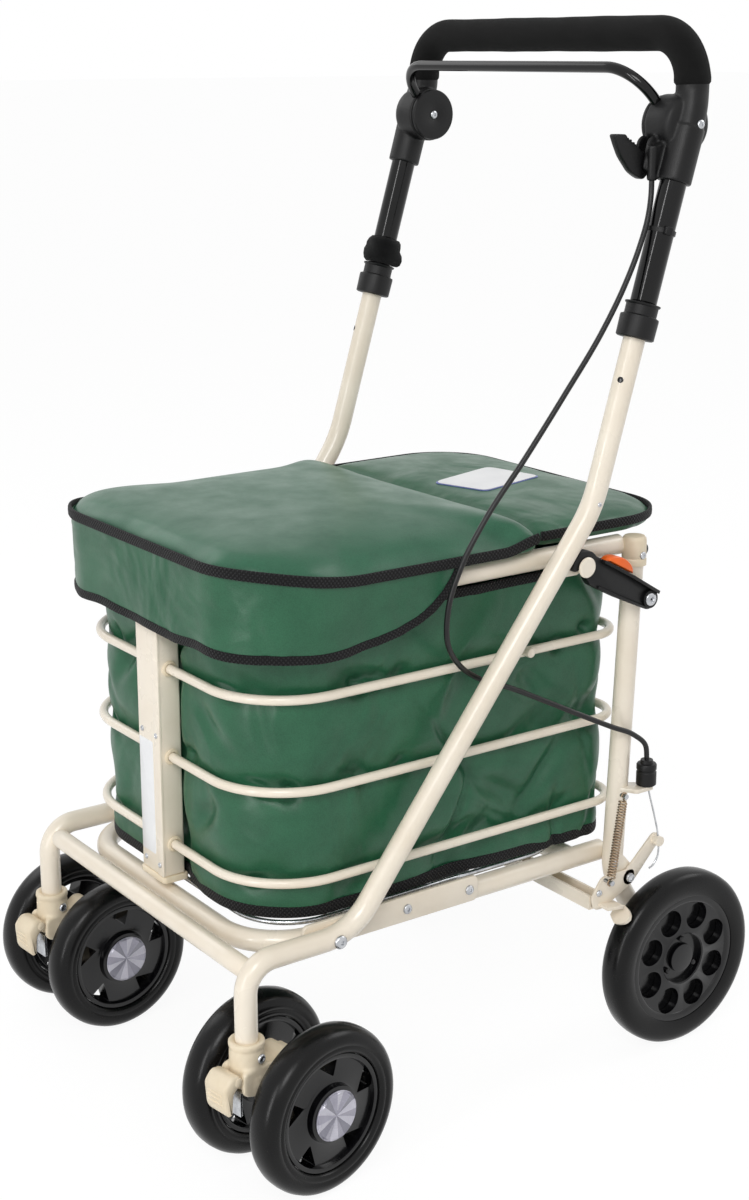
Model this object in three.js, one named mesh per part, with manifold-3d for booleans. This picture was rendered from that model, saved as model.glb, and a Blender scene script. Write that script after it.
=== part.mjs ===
// A shopping rollator: two bent handle tubes on twin casters, a base frame with rear wheels,
// a bag held in three wire hoops, a padded seat lid, a height-adjustable handlebar and a rear brake.
// Millimetres, +Z up. The user stands at +Y and walks towards -Y, and +X is the user's left.
// Everything is laid out from the caster stems (y = 0) and the floor (z = 0), and the last
// section moves the origin to the middle of the footprint.
import * as THREE from 'three';
import { mergeGeometries, mergeVertices } from 'three/addons/utils/BufferGeometryUtils.js';
import Module from 'manifold-3d';

const wasm = await Module();
wasm.setup();

// Clearances and counts
const fit = 0.3;
const running_gap = 0.6;
const overrun = 6;
const tube_sides = 10;
const rod_sides = 8;
const round_sides = 16;
const wheel_sides = 24;
const wire_sides = 6;
const bend_steps = 4;

// Frame tubes
const handle_tube_radius = 10;
const frame_tube_radius = 10;
const seat_tube_radius = 9.5;
const crossbar_radius = 9;
const handle_half_width = 200;
const stem_half_width = 184;
const leg_half_width = 180;

// Handle tubes, from the caster stem to the telescopic top
const stem_bottom_height = 124;
const lower_run_height = 207;
const stem_bend_radius = 27;
const lower_bend_y = 108;
const lower_bend_radius = 58;
const kink_over_seat = 49;
const kink_bend_radius = 120;
const hinge_y = 458.5;
const hinge_height = 883;
const upper_lean = THREE.MathUtils.degToRad(16.8);
const telescope_overlap = 60;
const crossbar_y = 3;
const crossbar_height = 201;

// Telescopic handle, hinge drums and handlebar
const slider_radius = 12;
const slider_bore_radius = 11;
const slider_length = 164;
const collar_radius = 17.5;
const collar_length = 20;
const collar_ring_radius = 15;
const collar_ring_length = 11;
const slider_top_gap = 26;
const sleeve_radius = 15.5;
const sleeve_length = 50;
const drum_radius = 26.5;
const drum_thickness = 20;
const drum_cap_radius = 25;
const drum_cap_thickness = 5;
const drum_pin_radius = 6;
const brake_eye_radius = 14;
const brake_eye_thickness = 7;
const neck_radius = 14.5;
const neck_bend_height = 22;
const neck_bend_radius = 25;
const neck_height = 33;
const grip_half_width = 196;
const grip_height = 961;
const grip_lean = 8;
const grip_radius = 16;
const grip_bore_radius = 11.2;
const grip_core_radius = 10;
const grip_bend_radius = 43;
const brake_rod_radius = 5;
const brake_rod_reach = 39;
const brake_rod_rise = 49;
const brake_rod_bend = 40;

// Base frame and rear legs
const base_height = 200;
const base_front_y = 28;
const base_corner_radius = 60;
const base_rear_y = 416;
const stretcher_y = 380;
const plate_thickness = 4;
const plate_height = 24;
const plate_front_y = 66;
const plate_rear_y = 256;
const pivot_y = 90;
const pivot_bolt_radius = 5;
const bolt_head_radius = 7;
const bolt_head_height = 4;
const leg_top_y = 430;

const leg_foot_y = 414;
const leg_foot_height = 186;
const leg_bend_radius = 40;
const axle_half_width = 168;
const leg_cap_radius = 11.5;
const leg_cap_length = 28;

// Seat frame, post and hoops
const seat_frame_height = 505;
const seat_front_y = 37;
const seat_corner_radius = 60;
const post_half_width = 20;
const post_front_y = 16;
const post_depth = 22;
const post_bottom_height = 223;
const foot_half_width = 21.5;
const foot_front_y = 15.5;
const foot_bottom_height = 189;
const foot_wall = 2.2;
const hoop_radius = 4.3;
const hoop_height_shares = [0.1754, 0.4492, 0.7197];
const hoop_corner_radius = 75;
const hoop_rear_radius = 45;
const hoop_rear_y = 432;
const grommet_radius = 7;
const grommet_length = 3;

// Bag, wire floor and lid
const wire_radius = 2.4;
const floor_corner_radius = 55;
const floor_cross_wires = 5;
const floor_long_wires = 2;
const bag_wall = 3;
const bag_corner_radius = 66;
const bag_top_drop = 16;
const bag_gap = 1;
const bag_rear_radius = 42;
const lid_half_width = 186;
const lid_front_y = 7;
const lid_corner_radius = 78;
const lid_rim_clearance = 1.2;
const lid_crown = 40;
const lid_fold_y = 318;
const lid_fold_rise = 13;
const skirt_drop = 60;
const skirt_thickness = 2.4;
const skirt_rear_y = 226;
const flap_rear_y = 493;
const flap_half_width = 176;
const flap_corner_radius = 66;
const flap_thickness = 4;
const flap_crown = 22;
const cushion_rings = 8;
const edge_power = 1.6;
const crown_power = 5;
const cushion_edge_points = 12;

// Lock arms
const stud_reach = 32.9;
const stud_drop = 5;
const lock_clearance = 2;
const stud_radius = 6.2;
const stud_head_radius = 9.5;
const lock_head_thickness = 3;
const lock_bolt_y = 431;
const lock_arm_fall = 42;
const lock_arm_thickness = 9;
const lock_arm_half_height = 13;
const lock_ring_radius = 15;
const lock_flange_height = 3;
const lock_flange_width = 14;
const lock_bolt_radius = 5;
const lock_bolt_head_radius = 7;
const mouth_swing = 2.5;
const gusset_thickness = 7;
const gusset_half_height = 9;
const release_length = 34;
const release_height = 8;
const release_width = 8;
const release_start = 20;

// Casters
const caster_yaws = [THREE.MathUtils.degToRad(8.2), THREE.MathUtils.degToRad(4.1)];
const caster_trail = 45.5;
const caster_wheel_radius = 75;
const caster_wheel_spacing = 90;
const caster_tyre_width = 33;
const caster_rim_radius = 53;
const caster_hub_width = 25;
const caster_axle_radius = 5;
const caster_hub_boss_radius = 26;
const slot_count = 5;
const socket_radius = 15.5;
const socket_height = 140;
const socket_floor_height = 118;
const housing_half_width = 19;
const housing_front_share = 0.37;
const housing_bottom_height = 92;
const fork_half_width = 14;
const fork_thickness = 4;
const pedal_width = 30;
const pedal_thickness = 8;
const pedal_length = 30;
const pedal_pin_radius = 3;
const pedal_pin_height = 112;

// Rear wheels and brake
const rear_axle_y = 480;
const rear_wheel_radius = 88;
const rear_wheel_half_width = 203;
const rear_tyre_width = 30;
const rear_rim_radius = 64;
const rear_hub_width = 24;
const rear_axle_radius = 6;
const pocket_count = 8;
const pocket_radius = 12;
const pocket_circle_radius = 44;
const rear_boss_radius = 17;
const brake_pivot_y = 424;
const brake_pivot_height = 181;
const brake_pivot_radius = 4;
const brake_plate_thickness = 3;
const channel_y = 385;
const channel_height = 165;
const channel_depth = 16;
const channel_thickness = 14;
const channel_wall = 2.5;
const nipple_y = 456;
const nipple_height = 212;
const nipple_radius = 5;
const shoe_gap = 5;
const shoe_width = 24;
const shoe_thickness = 4;
const adjuster_y = 439;
const adjuster_height = 273;
const adjuster_length = 25;
const adjuster_radius = 7.5;
const brake_wire_radius = 0.9;
const adjuster_half_width = 197;
const spring_half_width = 201.5;
const spring_top_y = 407;
const spring_top_height = 270;
const spring_foot_y = 393;
const spring_foot_height = 186;
const spring_peg_radius = 2;
const spring_coil_radius = 4;
const spring_wire_radius = 0.7;
const spring_turns = 20;

// Brake cable and parking lever
const cable_radius = 2.5;
const parking_pivot_y = 427;
const parking_pivot_height = 850;
const parking_half_width = 180;
const parking_thickness = 9;
const parking_boss_radius = 8;
const parking_pin_radius = 2.5;
const parking_reach = 39;
const cheek_thickness = 3.2;
const barrel_half_width = 190.5;
const barrel_radius = 4.5;
const barrel_bottom_height = 837;

// Worked-out places
const sides = [1, -1];
const side_names = ['left', 'right'];
const lean_y = Math.sin(upper_lean);
const lean_z = Math.cos(upper_lean);
const kink_height = seat_frame_height + kink_over_seat;
const kink_y = hinge_y - (hinge_height - kink_height) * (lean_y / lean_z);
const slider_end = slider_top_gap + slider_length;
const base_half_width = leg_half_width - frame_tube_radius - fit - frame_tube_radius;
const seat_half_width = leg_half_width - leg_cap_radius + fit;
const hoop_half_width = leg_half_width - frame_tube_radius - fit - hoop_radius;
const post_middle_y = post_front_y + post_depth / 2;
const post_top_height = seat_frame_height - seat_tube_radius - fit;
const axle_height = rear_wheel_radius;
const pedal_pin_y = -housing_front_share * caster_trail - fit;
const diagonal = (kink_height - lower_run_height) / (kink_y - lower_bend_y);
const stud_height = seat_frame_height - stud_drop;
const stud_tube_y = kink_y - (kink_height - stud_height) / diagonal;
const stud_y = stud_tube_y + stud_reach;
const lock_bolt_height = stud_height - lock_arm_fall;
const hoop_heights = hoop_height_shares.map((share) => base_height + share * (seat_frame_height - base_height));
const bag_top_height = seat_frame_height - bag_top_drop;
const seat_top = seat_frame_height + seat_tube_radius + fit;
const lid_rim_height = seat_top + lid_rim_clearance;
const lid_fold_height = lid_rim_height + lid_fold_rise;
const leg_cap_top = seat_frame_height + seat_tube_radius;
const leg_top_height = leg_cap_top - fit * 10;

// Small helpers for materials, solids and placing
function paint(color, roughness, metalness) {
  return new THREE.MeshStandardMaterial({ color, roughness, metalness });
}

const cream = paint(0xdcd0bb, 0.4, 0.1);
const cream_plastic = paint(0xe2d5b8, 0.5, 0);
const black_plastic = paint(0x1b1b1d, 0.5, 0);
const black_gloss = paint(0x101012, 0.25, 0.2);
const black_foam = paint(0x161616, 0.95, 0);
const black_rubber = paint(0x1e1e1f, 0.8, 0);
const green_leatherette = paint(0x234a35, 0.45, 0);
const orange_plastic = paint(0xf06a1e, 0.45, 0);
const steel = paint(0xb9bcc0, 0.3, 0.9);
const brass_wire = paint(0xa88a5c, 0.4, 0.8);

const group = new THREE.Group();

function add(name, geometry, material, parent = group) {
  const mesh = new THREE.Mesh(geometry, material);
  mesh.name = name;
  parent.add(mesh);
  return mesh;
}

function weld(geometry) {
  const bare = new THREE.BufferGeometry();
  bare.setAttribute('position', geometry.getAttribute('position'));
  if (geometry.index) bare.setIndex(geometry.index);
  return mergeVertices(bare, fit / 1000);
}

function solid(geometry) {
  const welded = weld(geometry);
  return new wasm.Manifold(new wasm.Mesh({
    numProp: 3,
    vertProperties: new Float32Array(welded.getAttribute('position').array),
    triVerts: new Uint32Array(welded.index.array),
  }));
}

function shape_of(manifold) {
  const mesh = manifold.getMesh();
  const geometry = new THREE.BufferGeometry();
  geometry.setAttribute('position', new THREE.BufferAttribute(new Float32Array(mesh.vertProperties), 3));
  geometry.setIndex(new THREE.BufferAttribute(new Uint32Array(mesh.triVerts), 1));
  return geometry;
}

function join(...geometries) {
  return shape_of(geometries.map(solid).reduce((a, b) => a.add(b)));
}

function cut(geometry, ...cutters) {
  return shape_of(cutters.map(solid).reduce((a, b) => a.subtract(b), solid(geometry)));
}

function polygon(points) {
  return new THREE.Shape(points.map(([a, b]) => new THREE.Vector2(a, b)));
}

function circle_points(radius, count) {
  return Array.from({ length: count }, (_, i) => {
    const angle = (2 * Math.PI * (i + 0.5)) / count;
    return [radius * Math.cos(angle), radius * Math.sin(angle)];
  });
}

// A cylinder along X from x0 to x1, round the line at (y, z)
function bar_x(radius, x0, x1, y, z, count = round_sides) {
  const geometry = new THREE.CylinderGeometry(radius, radius, Math.abs(x1 - x0), count);
  geometry.rotateZ(Math.PI / 2);
  return geometry.translate((x0 + x1) / 2, y, z);
}

// A cylinder along Z from z0 to z1
function bar_z(radius, x, y, z0, z1, count = round_sides) {
  const geometry = new THREE.CylinderGeometry(radius, radius, Math.abs(z1 - z0), count);
  geometry.rotateX(Math.PI / 2);
  return geometry.translate(x, y, (z0 + z1) / 2);
}

function block(x0, x1, y0, y1, z0, z1) {
  const geometry = new THREE.BoxGeometry(Math.abs(x1 - x0), Math.abs(y1 - y0), Math.abs(z1 - z0));
  return geometry.translate((x0 + x1) / 2, (y0 + y1) / 2, (z0 + z1) / 2);
}

// A flat plate: an outline in (y, z), from x0 to x1
function plate_x(outline, x0, x1, holes = []) {
  const shape = polygon(outline);
  for (const hole of holes) shape.holes.push(new THREE.Path(hole.map(([a, b]) => new THREE.Vector2(a, b))));
  const depth = Math.abs(x1 - x0);
  const geometry = new THREE.ExtrudeGeometry(shape, { depth, bevelEnabled: false });
  geometry.rotateY(Math.PI / 2).rotateX(Math.PI / 2);
  return geometry.translate(Math.min(x0, x1), 0, 0);
}

// A route that keeps its corner points, so that a straight stretch takes one step
class Route extends THREE.Curve {
  constructor(points) {
    super();
    this.points = points;
  }

  getPoint(t, target = new THREE.Vector3()) {
    const place = Math.min(Math.max(t, 0), 1) * (this.points.length - 1);
    const i = Math.min(Math.floor(place), this.points.length - 2);
    return target.lerpVectors(this.points[i], this.points[i + 1], place - i);
  }

  getPointAt(t, target) {
    return this.getPoint(t, target);
  }

  getTangentAt(t, target = new THREE.Vector3()) {
    const last = this.points.length - 1;
    const i = Math.round(t * last);
    const before = this.points[Math.max(i - 1, 0)];
    const after = this.points[Math.min(i + 1, last)];
    const into = this.points[i].clone().sub(before).normalize();
    const out = after.clone().sub(this.points[i]).normalize();
    return target.copy(into.add(out)).normalize();
  }
}

// Corner points with their radii, turned into a route with round bends
function rounded(corners, steps = bend_steps) {
  const points = [];
  corners.forEach(([x, y, z, radius = 0], i) => {
    const here = new THREE.Vector3(x, y, z);
    if (!radius || i === 0 || i === corners.length - 1) {
      points.push(here);
      return;
    }
    const back = new THREE.Vector3(...corners[i - 1].slice(0, 3)).sub(here).normalize();
    const on = new THREE.Vector3(...corners[i + 1].slice(0, 3)).sub(here).normalize();
    const half = back.angleTo(on) / 2;
    const reach = radius / Math.tan(half);
    const centre = back.clone().add(on).normalize().multiplyScalar(radius / Math.sin(half)).add(here);
    const start = back.clone().multiplyScalar(reach).add(here).sub(centre);
    const end = on.clone().multiplyScalar(reach).add(here).sub(centre);
    const sweep = start.angleTo(end);
    for (let k = 0; k <= steps; k += 1) {
      const share = k / steps;
      const a = Math.sin((1 - share) * sweep) / Math.sin(sweep);
      const b = Math.sin(share * sweep) / Math.sin(sweep);
      points.push(start.clone().multiplyScalar(a).addScaledVector(end, b).add(centre));
    }
  });
  return points;
}

function tube(points, radius, count = tube_sides, bore = 0) {
  const shape = polygon(circle_points(radius, count));
  if (bore) shape.holes.push(new THREE.Path(circle_points(bore, count).map(([a, b]) => new THREE.Vector2(a, b))));
  const extrudePath = new Route(points);
  return new THREE.ExtrudeGeometry(shape, { steps: points.length - 1, extrudePath, bevelEnabled: false });
}

// The outline of a rounded rectangle in plan, as points, with its own front and rear corner radii
function plan_outline(half_width, front_y, rear_y, front_radius, rear_radius, steps = bend_steps) {
  const points = [];
  const corners = [
    [half_width - front_radius, front_y + front_radius, front_radius, -Math.PI / 2],
    [half_width - rear_radius, rear_y - rear_radius, rear_radius, 0],
    [-half_width + rear_radius, rear_y - rear_radius, rear_radius, Math.PI / 2],
    [-half_width + front_radius, front_y + front_radius, front_radius, Math.PI],
  ];
  for (const [cx, cy, radius, from] of corners) {
    for (let k = 0; k <= steps; k += 1) {
      const angle = from + (Math.PI / 2) * (k / steps);
      points.push([cx + radius * Math.cos(angle), cy + radius * Math.sin(angle)]);
    }
  }
  return points;
}

function slab(outline, z0, z1, holes = []) {
  const shape = polygon(outline);
  for (const hole of holes) shape.holes.push(new THREE.Path(hole.map(([a, b]) => new THREE.Vector2(a, b))));
  const geometry = new THREE.ExtrudeGeometry(shape, { depth: z1 - z0, bevelEnabled: false });
  return geometry.translate(0, 0, z0);
}

// A point on the handle's leaning upper line, at a distance below the hinge
function on_upper_line(below_hinge, x = handle_half_width) {
  return [x, hinge_y - below_hinge * lean_y, hinge_height - below_hinge * lean_z];
}

function upper_tube(from, to, radius, x, bore = 0, count = tube_sides) {
  const ends = [from, to].map((d) => new THREE.Vector3(...on_upper_line(d, x)));
  return tube(ends, radius, count, bore);
}

// Handle tubes: each is one bent tube from the caster stem to the telescopic top, with the stud
// that the lock arm turns on and the bolt that holds it to the base frame
const tube_top = slider_end - telescope_overlap;
const inner_run_x = stem_half_width - handle_tube_radius;
const plate_outer_x = inner_run_x - running_gap;
const lock_inner_x = leg_half_width + frame_tube_radius + lock_clearance;
const gusset_outer_x = lock_inner_x - fit;
const lock_head_x = lock_inner_x + lock_arm_thickness + fit;
const lock_head_end_x = lock_head_x + lock_head_thickness;

function handle_tube(side) {
  const route = rounded([
    [side * stem_half_width, 0, stem_bottom_height],
    [side * stem_half_width, 0, lower_run_height, stem_bend_radius],
    [side * stem_half_width, lower_bend_y, lower_run_height, lower_bend_radius],
    [side * handle_half_width, kink_y, kink_height, kink_bend_radius],
    on_upper_line(tube_top, side * handle_half_width),
  ]);
  const near_x = gusset_outer_x - gusset_thickness;
  const gusset = [
    [stud_tube_y, stud_height - gusset_half_height],
    [stud_y, stud_height - gusset_half_height],
    [stud_y + stud_radius, stud_height],
    [stud_y, stud_height + gusset_half_height],
    [stud_tube_y + 2 * gusset_half_height / diagonal, stud_height + gusset_half_height],
  ];
  const stud = bar_x(stud_radius, side * near_x, side * lock_head_end_x, stud_y, stud_height, tube_sides);
  const stud_head = bar_x(stud_head_radius, side * lock_head_x, side * lock_head_end_x, stud_y, stud_height);
  const bolt_inner_x = inner_run_x - running_gap - plate_thickness + fit;
  const bolt_outer_x = stem_half_width + handle_tube_radius + bolt_head_height / 2;
  return join(
    tube(route, handle_tube_radius),
    plate_x(gusset, side * near_x, side * gusset_outer_x),
    stud, stud_head,
    bar_x(pivot_bolt_radius, side * bolt_inner_x, side * bolt_outer_x, pivot_y, lower_run_height, rod_sides),
    bar_x(bolt_head_radius, side * (bolt_outer_x - bolt_head_height), side * bolt_outer_x, pivot_y,
      lower_run_height, tube_sides),
  );
}

sides.forEach((side, i) => {
  add(`handle_tube_${side_names[i]}`, handle_tube(side), cream);
});

// Front crossbar: it butts against the inner side of both stem bends
const crossbar_end = stem_half_width - handle_tube_radius - fit;
add('front_crossbar', bar_x(crossbar_radius, -crossbar_end, crossbar_end, crossbar_y, crossbar_height, tube_sides),
  cream);

// Lock arms: each turns on a pin on the rear leg, and the hook at its front end drops over the stud
// of the handle tube
const arm_length = Math.hypot(lock_bolt_y - stud_y, lock_bolt_height - stud_height);
const arm_angle = Math.atan2(lock_bolt_height - stud_height, lock_bolt_y - stud_y);

function lock_arm() {
  const bore = stud_radius + fit;
  const round = (radius, at) => bar_x(radius, 0, lock_arm_thickness, at, 0, round_sides);
  const body = block(0, lock_arm_thickness, 0, arm_length, -lock_arm_half_height, lock_arm_half_height);
  const flange = block(0, lock_flange_width, lock_ring_radius, arm_length + lock_bolt_radius,
    lock_arm_half_height - lock_flange_height, lock_arm_half_height);
  const mouth = block(-overrun, lock_flange_width, -bore, bore + mouth_swing, -lock_ring_radius - overrun, -bore / 2);
  return cut(
    join(round(lock_ring_radius, 0), body, round(lock_arm_half_height, arm_length), flange),
    bar_x(bore, -overrun, lock_arm_thickness + overrun, 0, 0, round_sides),
    bar_x(lock_bolt_radius + fit, -overrun, lock_arm_thickness + overrun, arm_length, 0, round_sides),
    mouth,
  );
}

function release_lever() {
  const low = lock_arm_half_height + fit;
  const end = release_height / 2;
  return join(
    block(0, release_width, release_start, release_start + release_length, low, low + release_height),
    bar_x(end, 0, release_width, release_start, low + end, rod_sides),
    bar_x(end, 0, release_width, release_start + release_length, low + end, rod_sides),
  );
}

sides.forEach((side, i) => {
  const arm = new THREE.Group();
  arm.position.set(side * lock_inner_x, stud_y, stud_height);
  arm.rotation.x = arm_angle;
  arm.scale.x = side;
  group.add(arm);
  add(`lock_arm_${side_names[i]}`, lock_arm(), black_plastic, arm);
  add(`lock_release_${side_names[i]}`, release_lever(), orange_plastic, arm);
});

// Telescopic tubes and their height collars
function upper_slider(side) {
  return upper_tube(slider_end - collar_length / 2, slider_top_gap, slider_radius, side * handle_half_width,
    slider_bore_radius, round_sides);
}

function height_collar(side) {
  const x = side * handle_half_width;
  const ring_top = slider_end - collar_length;
  const body = join(
    upper_tube(slider_end, ring_top, collar_radius, x, 0, round_sides),
    upper_tube(ring_top + fit, ring_top - collar_ring_length, collar_ring_radius, x, 0, round_sides),
  );
  const tube_hole = handle_tube_radius + 2 * fit;
  return cut(
    body,
    upper_tube(slider_end + overrun, ring_top, tube_hole, x, 0, round_sides),
    upper_tube(slider_end - collar_length / 2 + fit, ring_top - collar_ring_length - overrun,
      slider_radius + fit, x, 0, round_sides),
  );
}

// Handle brackets: each clamps the telescopic tube below and the grip's leg above, with a drum on
// its inner side and a pin for the brake bar's eye and the end cap
const drum_outer_x = handle_half_width;
const drum_inner_x = drum_outer_x - drum_thickness;
const eye_outer_x = drum_inner_x - fit;
const eye_inner_x = eye_outer_x - brake_eye_thickness;
const cap_outer_x = eye_inner_x - fit;
const cap_inner_x = cap_outer_x - drum_cap_thickness;
const grip_y = hinge_y + grip_lean;
const neck_top = hinge_height + neck_height;

function handle_bracket(side) {
  const x = side * handle_half_width;
  const drum = bar_x(drum_radius, side * drum_inner_x, side * drum_outer_x, hinge_y, hinge_height, wheel_sides);
  const sleeve = upper_tube(sleeve_length, 0, sleeve_radius, x, 0, round_sides);
  const neck = tube(rounded([
    [x, hinge_y, hinge_height],
    [side * grip_half_width, grip_y, hinge_height + neck_bend_height, neck_bend_radius],
    [side * grip_half_width, grip_y, neck_top],
  ]), neck_radius, round_sides);
  const bore = upper_tube(sleeve_length + overrun, slider_top_gap - fit, slider_radius + fit, x, 0, round_sides);
  const cap_room = bar_x(drum_radius + running_gap, side * (cap_inner_x - overrun), side * drum_inner_x, hinge_y,
    hinge_height, wheel_sides);
  const pin = bar_x(drum_pin_radius, side * (cap_outer_x + fit), side * drum_outer_x, hinge_y, hinge_height);
  if (side < 0) return join(cut(join(drum, sleeve, neck), bore, cap_room), pin);
  const gap_half = parking_thickness / 2 + fit;
  const low = parking_pivot_height - parking_boss_radius;
  const high = parking_pivot_height + 2 * parking_boss_radius;
  const rear_y = parking_pivot_y + parking_boss_radius + 2 * running_gap;
  const fork = block(parking_half_width - gap_half - cheek_thickness, x, parking_pivot_y - parking_boss_radius,
    rear_y + parking_boss_radius, low, high);
  const barrel = bar_z(barrel_radius, barrel_half_width, parking_pivot_y, barrel_bottom_height, high, rod_sides);
  const fork_gap = block(parking_half_width - gap_half, parking_half_width + gap_half,
    parking_pivot_y - parking_boss_radius - overrun, rear_y, low - overrun, high + overrun);
  const lever_pin = bar_x(parking_pin_radius, parking_half_width - gap_half - fit, parking_half_width + gap_half + fit,
    parking_pivot_y, parking_pivot_height, rod_sides);
  return join(cut(join(drum, sleeve, neck, fork, barrel), bore, cap_room, fork_gap), pin, lever_pin);
}

function bracket_cap(side) {
  return bar_x(drum_cap_radius, side * cap_inner_x, side * cap_outer_x, hinge_y, hinge_height, wheel_sides);
}

sides.forEach((side, i) => {
  add(`upper_tube_${side_names[i]}`, upper_slider(side), black_gloss);
  add(`height_collar_${side_names[i]}`, height_collar(side), black_plastic);
  add(`handle_bracket_${side_names[i]}`, handle_bracket(side), black_plastic);
  add(`bracket_cap_${side_names[i]}`, bracket_cap(side), black_plastic);
});

// Handlebar: a core tube across, from neck to neck, and a foam grip round it
const grip_route = rounded([
  [grip_half_width, grip_y, neck_top + fit],
  [grip_half_width, grip_y, grip_height, grip_bend_radius],
  [-grip_half_width, grip_y, grip_height, grip_bend_radius],
  [-grip_half_width, grip_y, neck_top + fit],
]);
add('handlebar_tube', tube(grip_route, grip_core_radius), steel);
add('foam_grip', tube(grip_route, grip_radius, tube_sides + 2, grip_bore_radius), black_foam);

// Brake bar: a rod under the grip with an eye round each drum's pin
function brake_bar() {
  const eye_x = (eye_inner_x + eye_outer_x) / 2;
  const start = (drum_pin_radius + brake_eye_radius) / 2 / Math.hypot(brake_rod_reach, brake_rod_rise);
  const end_of = (side) => [side * eye_x, hinge_y - brake_rod_reach * start, hinge_height + brake_rod_rise * start];
  const corner_of = (side) => [side * eye_x, hinge_y - brake_rod_reach, hinge_height + brake_rod_rise, brake_rod_bend];
  const rod = tube(rounded([end_of(1), corner_of(1), corner_of(-1), end_of(-1)]), brake_rod_radius, rod_sides);
  const eyes = sides.map((side) => bar_x(brake_eye_radius, side * eye_inner_x, side * eye_outer_x, hinge_y,
    hinge_height));
  const rooms = sides.flatMap((side) => [
    bar_x(drum_pin_radius + fit, side * (eye_inner_x - overrun), side * (eye_outer_x + overrun), hinge_y,
      hinge_height),
    bar_x(drum_radius + fit, side * eye_outer_x, side * drum_outer_x, hinge_y, hinge_height, wheel_sides),
    bar_x(drum_radius + fit, side * cap_inner_x, side * eye_inner_x, hinge_y, hinge_height, wheel_sides),
  ]);
  return cut(join(rod, ...eyes), ...rooms);
}

add('brake_bar', brake_bar(), black_gloss);

// Parking lever: a hook in the fork under the left drum, outlined in shares of its own reach
function parking_lever() {
  const outline_shares = [
    [-1, 0.68], [-0.63, 0.67], [-0.57, 0.54], [-0.45, 0.5], [-0.3, 0.4], [-0.14, 0.28], [0.1, 0.2],
    [0.18, 0], [0.1, -0.18], [-0.1, -0.35], [-0.28, -0.28], [-0.47, -0.16], [-0.76, 0.18], [-0.9, 0.45],
  ];
  const outline = outline_shares.map(([a, b]) => [
    parking_pivot_y + a * parking_reach,
    parking_pivot_height + b * parking_reach,
  ]);
  const half = parking_thickness / 2;
  const body = plate_x(outline, parking_half_width - half, parking_half_width + half);
  return cut(body, bar_x(parking_pin_radius + fit, parking_half_width - half - overrun,
    parking_half_width + half + overrun, parking_pivot_y, parking_pivot_height, rod_sides));
}

add('parking_lever', parking_lever(), black_plastic);

// Base frame: a tube round the front and both sides, a stretcher at the rear and a plate on each
// side that the handle tube is bolted to
function base_frame() {
  const rail = rounded([
    [base_half_width, base_rear_y, base_height],
    [base_half_width, base_front_y, base_height, base_corner_radius],
    [-base_half_width, base_front_y, base_height, base_corner_radius],
    [-base_half_width, base_rear_y, base_height],
  ]);
  const stretcher = bar_x(frame_tube_radius, -base_half_width, base_half_width, stretcher_y, base_height, tube_sides);
  const plates = sides.map((side) => block(side * (plate_outer_x - plate_thickness), side * plate_outer_x,
    plate_front_y, plate_rear_y, lower_run_height - plate_height / 2, lower_run_height + plate_height / 2));
  const holes = sides.map((side) => bar_x(pivot_bolt_radius + fit, side * (plate_outer_x - plate_thickness),
    side * (plate_outer_x + overrun), pivot_y, lower_run_height));
  return cut(join(tube(rail, frame_tube_radius), stretcher, ...plates), ...holes);
}

add('base_frame', base_frame(), cream);

// Post: a box channel with a grommet on each side for every hoop, on a moulded foot
const foot_depth = 2 * (base_front_y - foot_front_y);

function front_post() {
  const column = block(-post_half_width, post_half_width, post_front_y, post_front_y + post_depth,
    post_bottom_height, post_top_height);
  const reach = post_half_width + grommet_length;
  const collars = hoop_heights.map((z) => bar_x(grommet_radius, -reach, reach, post_middle_y, z, tube_sides));
  const holes = hoop_heights.map((z) => bar_x(hoop_radius + fit * 2, -reach - overrun, reach + overrun,
    post_middle_y, z, tube_sides));
  return cut(join(column, ...collars), ...holes);
}

function post_foot() {
  const body = block(-foot_half_width, foot_half_width, foot_front_y, foot_front_y + foot_depth,
    foot_bottom_height, post_bottom_height - fit);
  return cut(body, bar_x(frame_tube_radius + fit, -foot_half_width - overrun, foot_half_width + overrun,
    base_front_y, base_height, round_sides));
}

add('front_post', front_post(), cream);
add('post_foot', post_foot(), cream_plastic);

// Hoops: each is one rod that leaves the post on one side, goes round the bag and comes back
function hoop(z) {
  const end = post_half_width - grommet_length;
  return tube(rounded([
    [end, post_middle_y, z],
    [hoop_half_width, post_middle_y, z, hoop_corner_radius],
    [hoop_half_width, hoop_rear_y, z, hoop_rear_radius],
    [-hoop_half_width, hoop_rear_y, z, hoop_rear_radius],
    [-hoop_half_width, post_middle_y, z, hoop_corner_radius],
    [-end, post_middle_y, z],
  ]), hoop_radius, rod_sides);
}

['hoop_lower', 'hoop_middle', 'hoop_upper'].forEach((name, i) => {
  add(name, hoop(hoop_heights[i]), cream);
});

// Wire floor: a loop on the base tubes with wires across it and along it
const floor_height = base_height + frame_tube_radius + fit + wire_radius;
const cross_height = floor_height + wire_radius;
const floor_half_width = base_half_width - frame_tube_radius / 2;
const floor_rear_y = stretcher_y + frame_tube_radius / 2;
const floor_front_y = foot_front_y + foot_depth + fit + wire_radius;

function spaced_share(i, count) {
  return (i + 1) / (count + 1);
}

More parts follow.
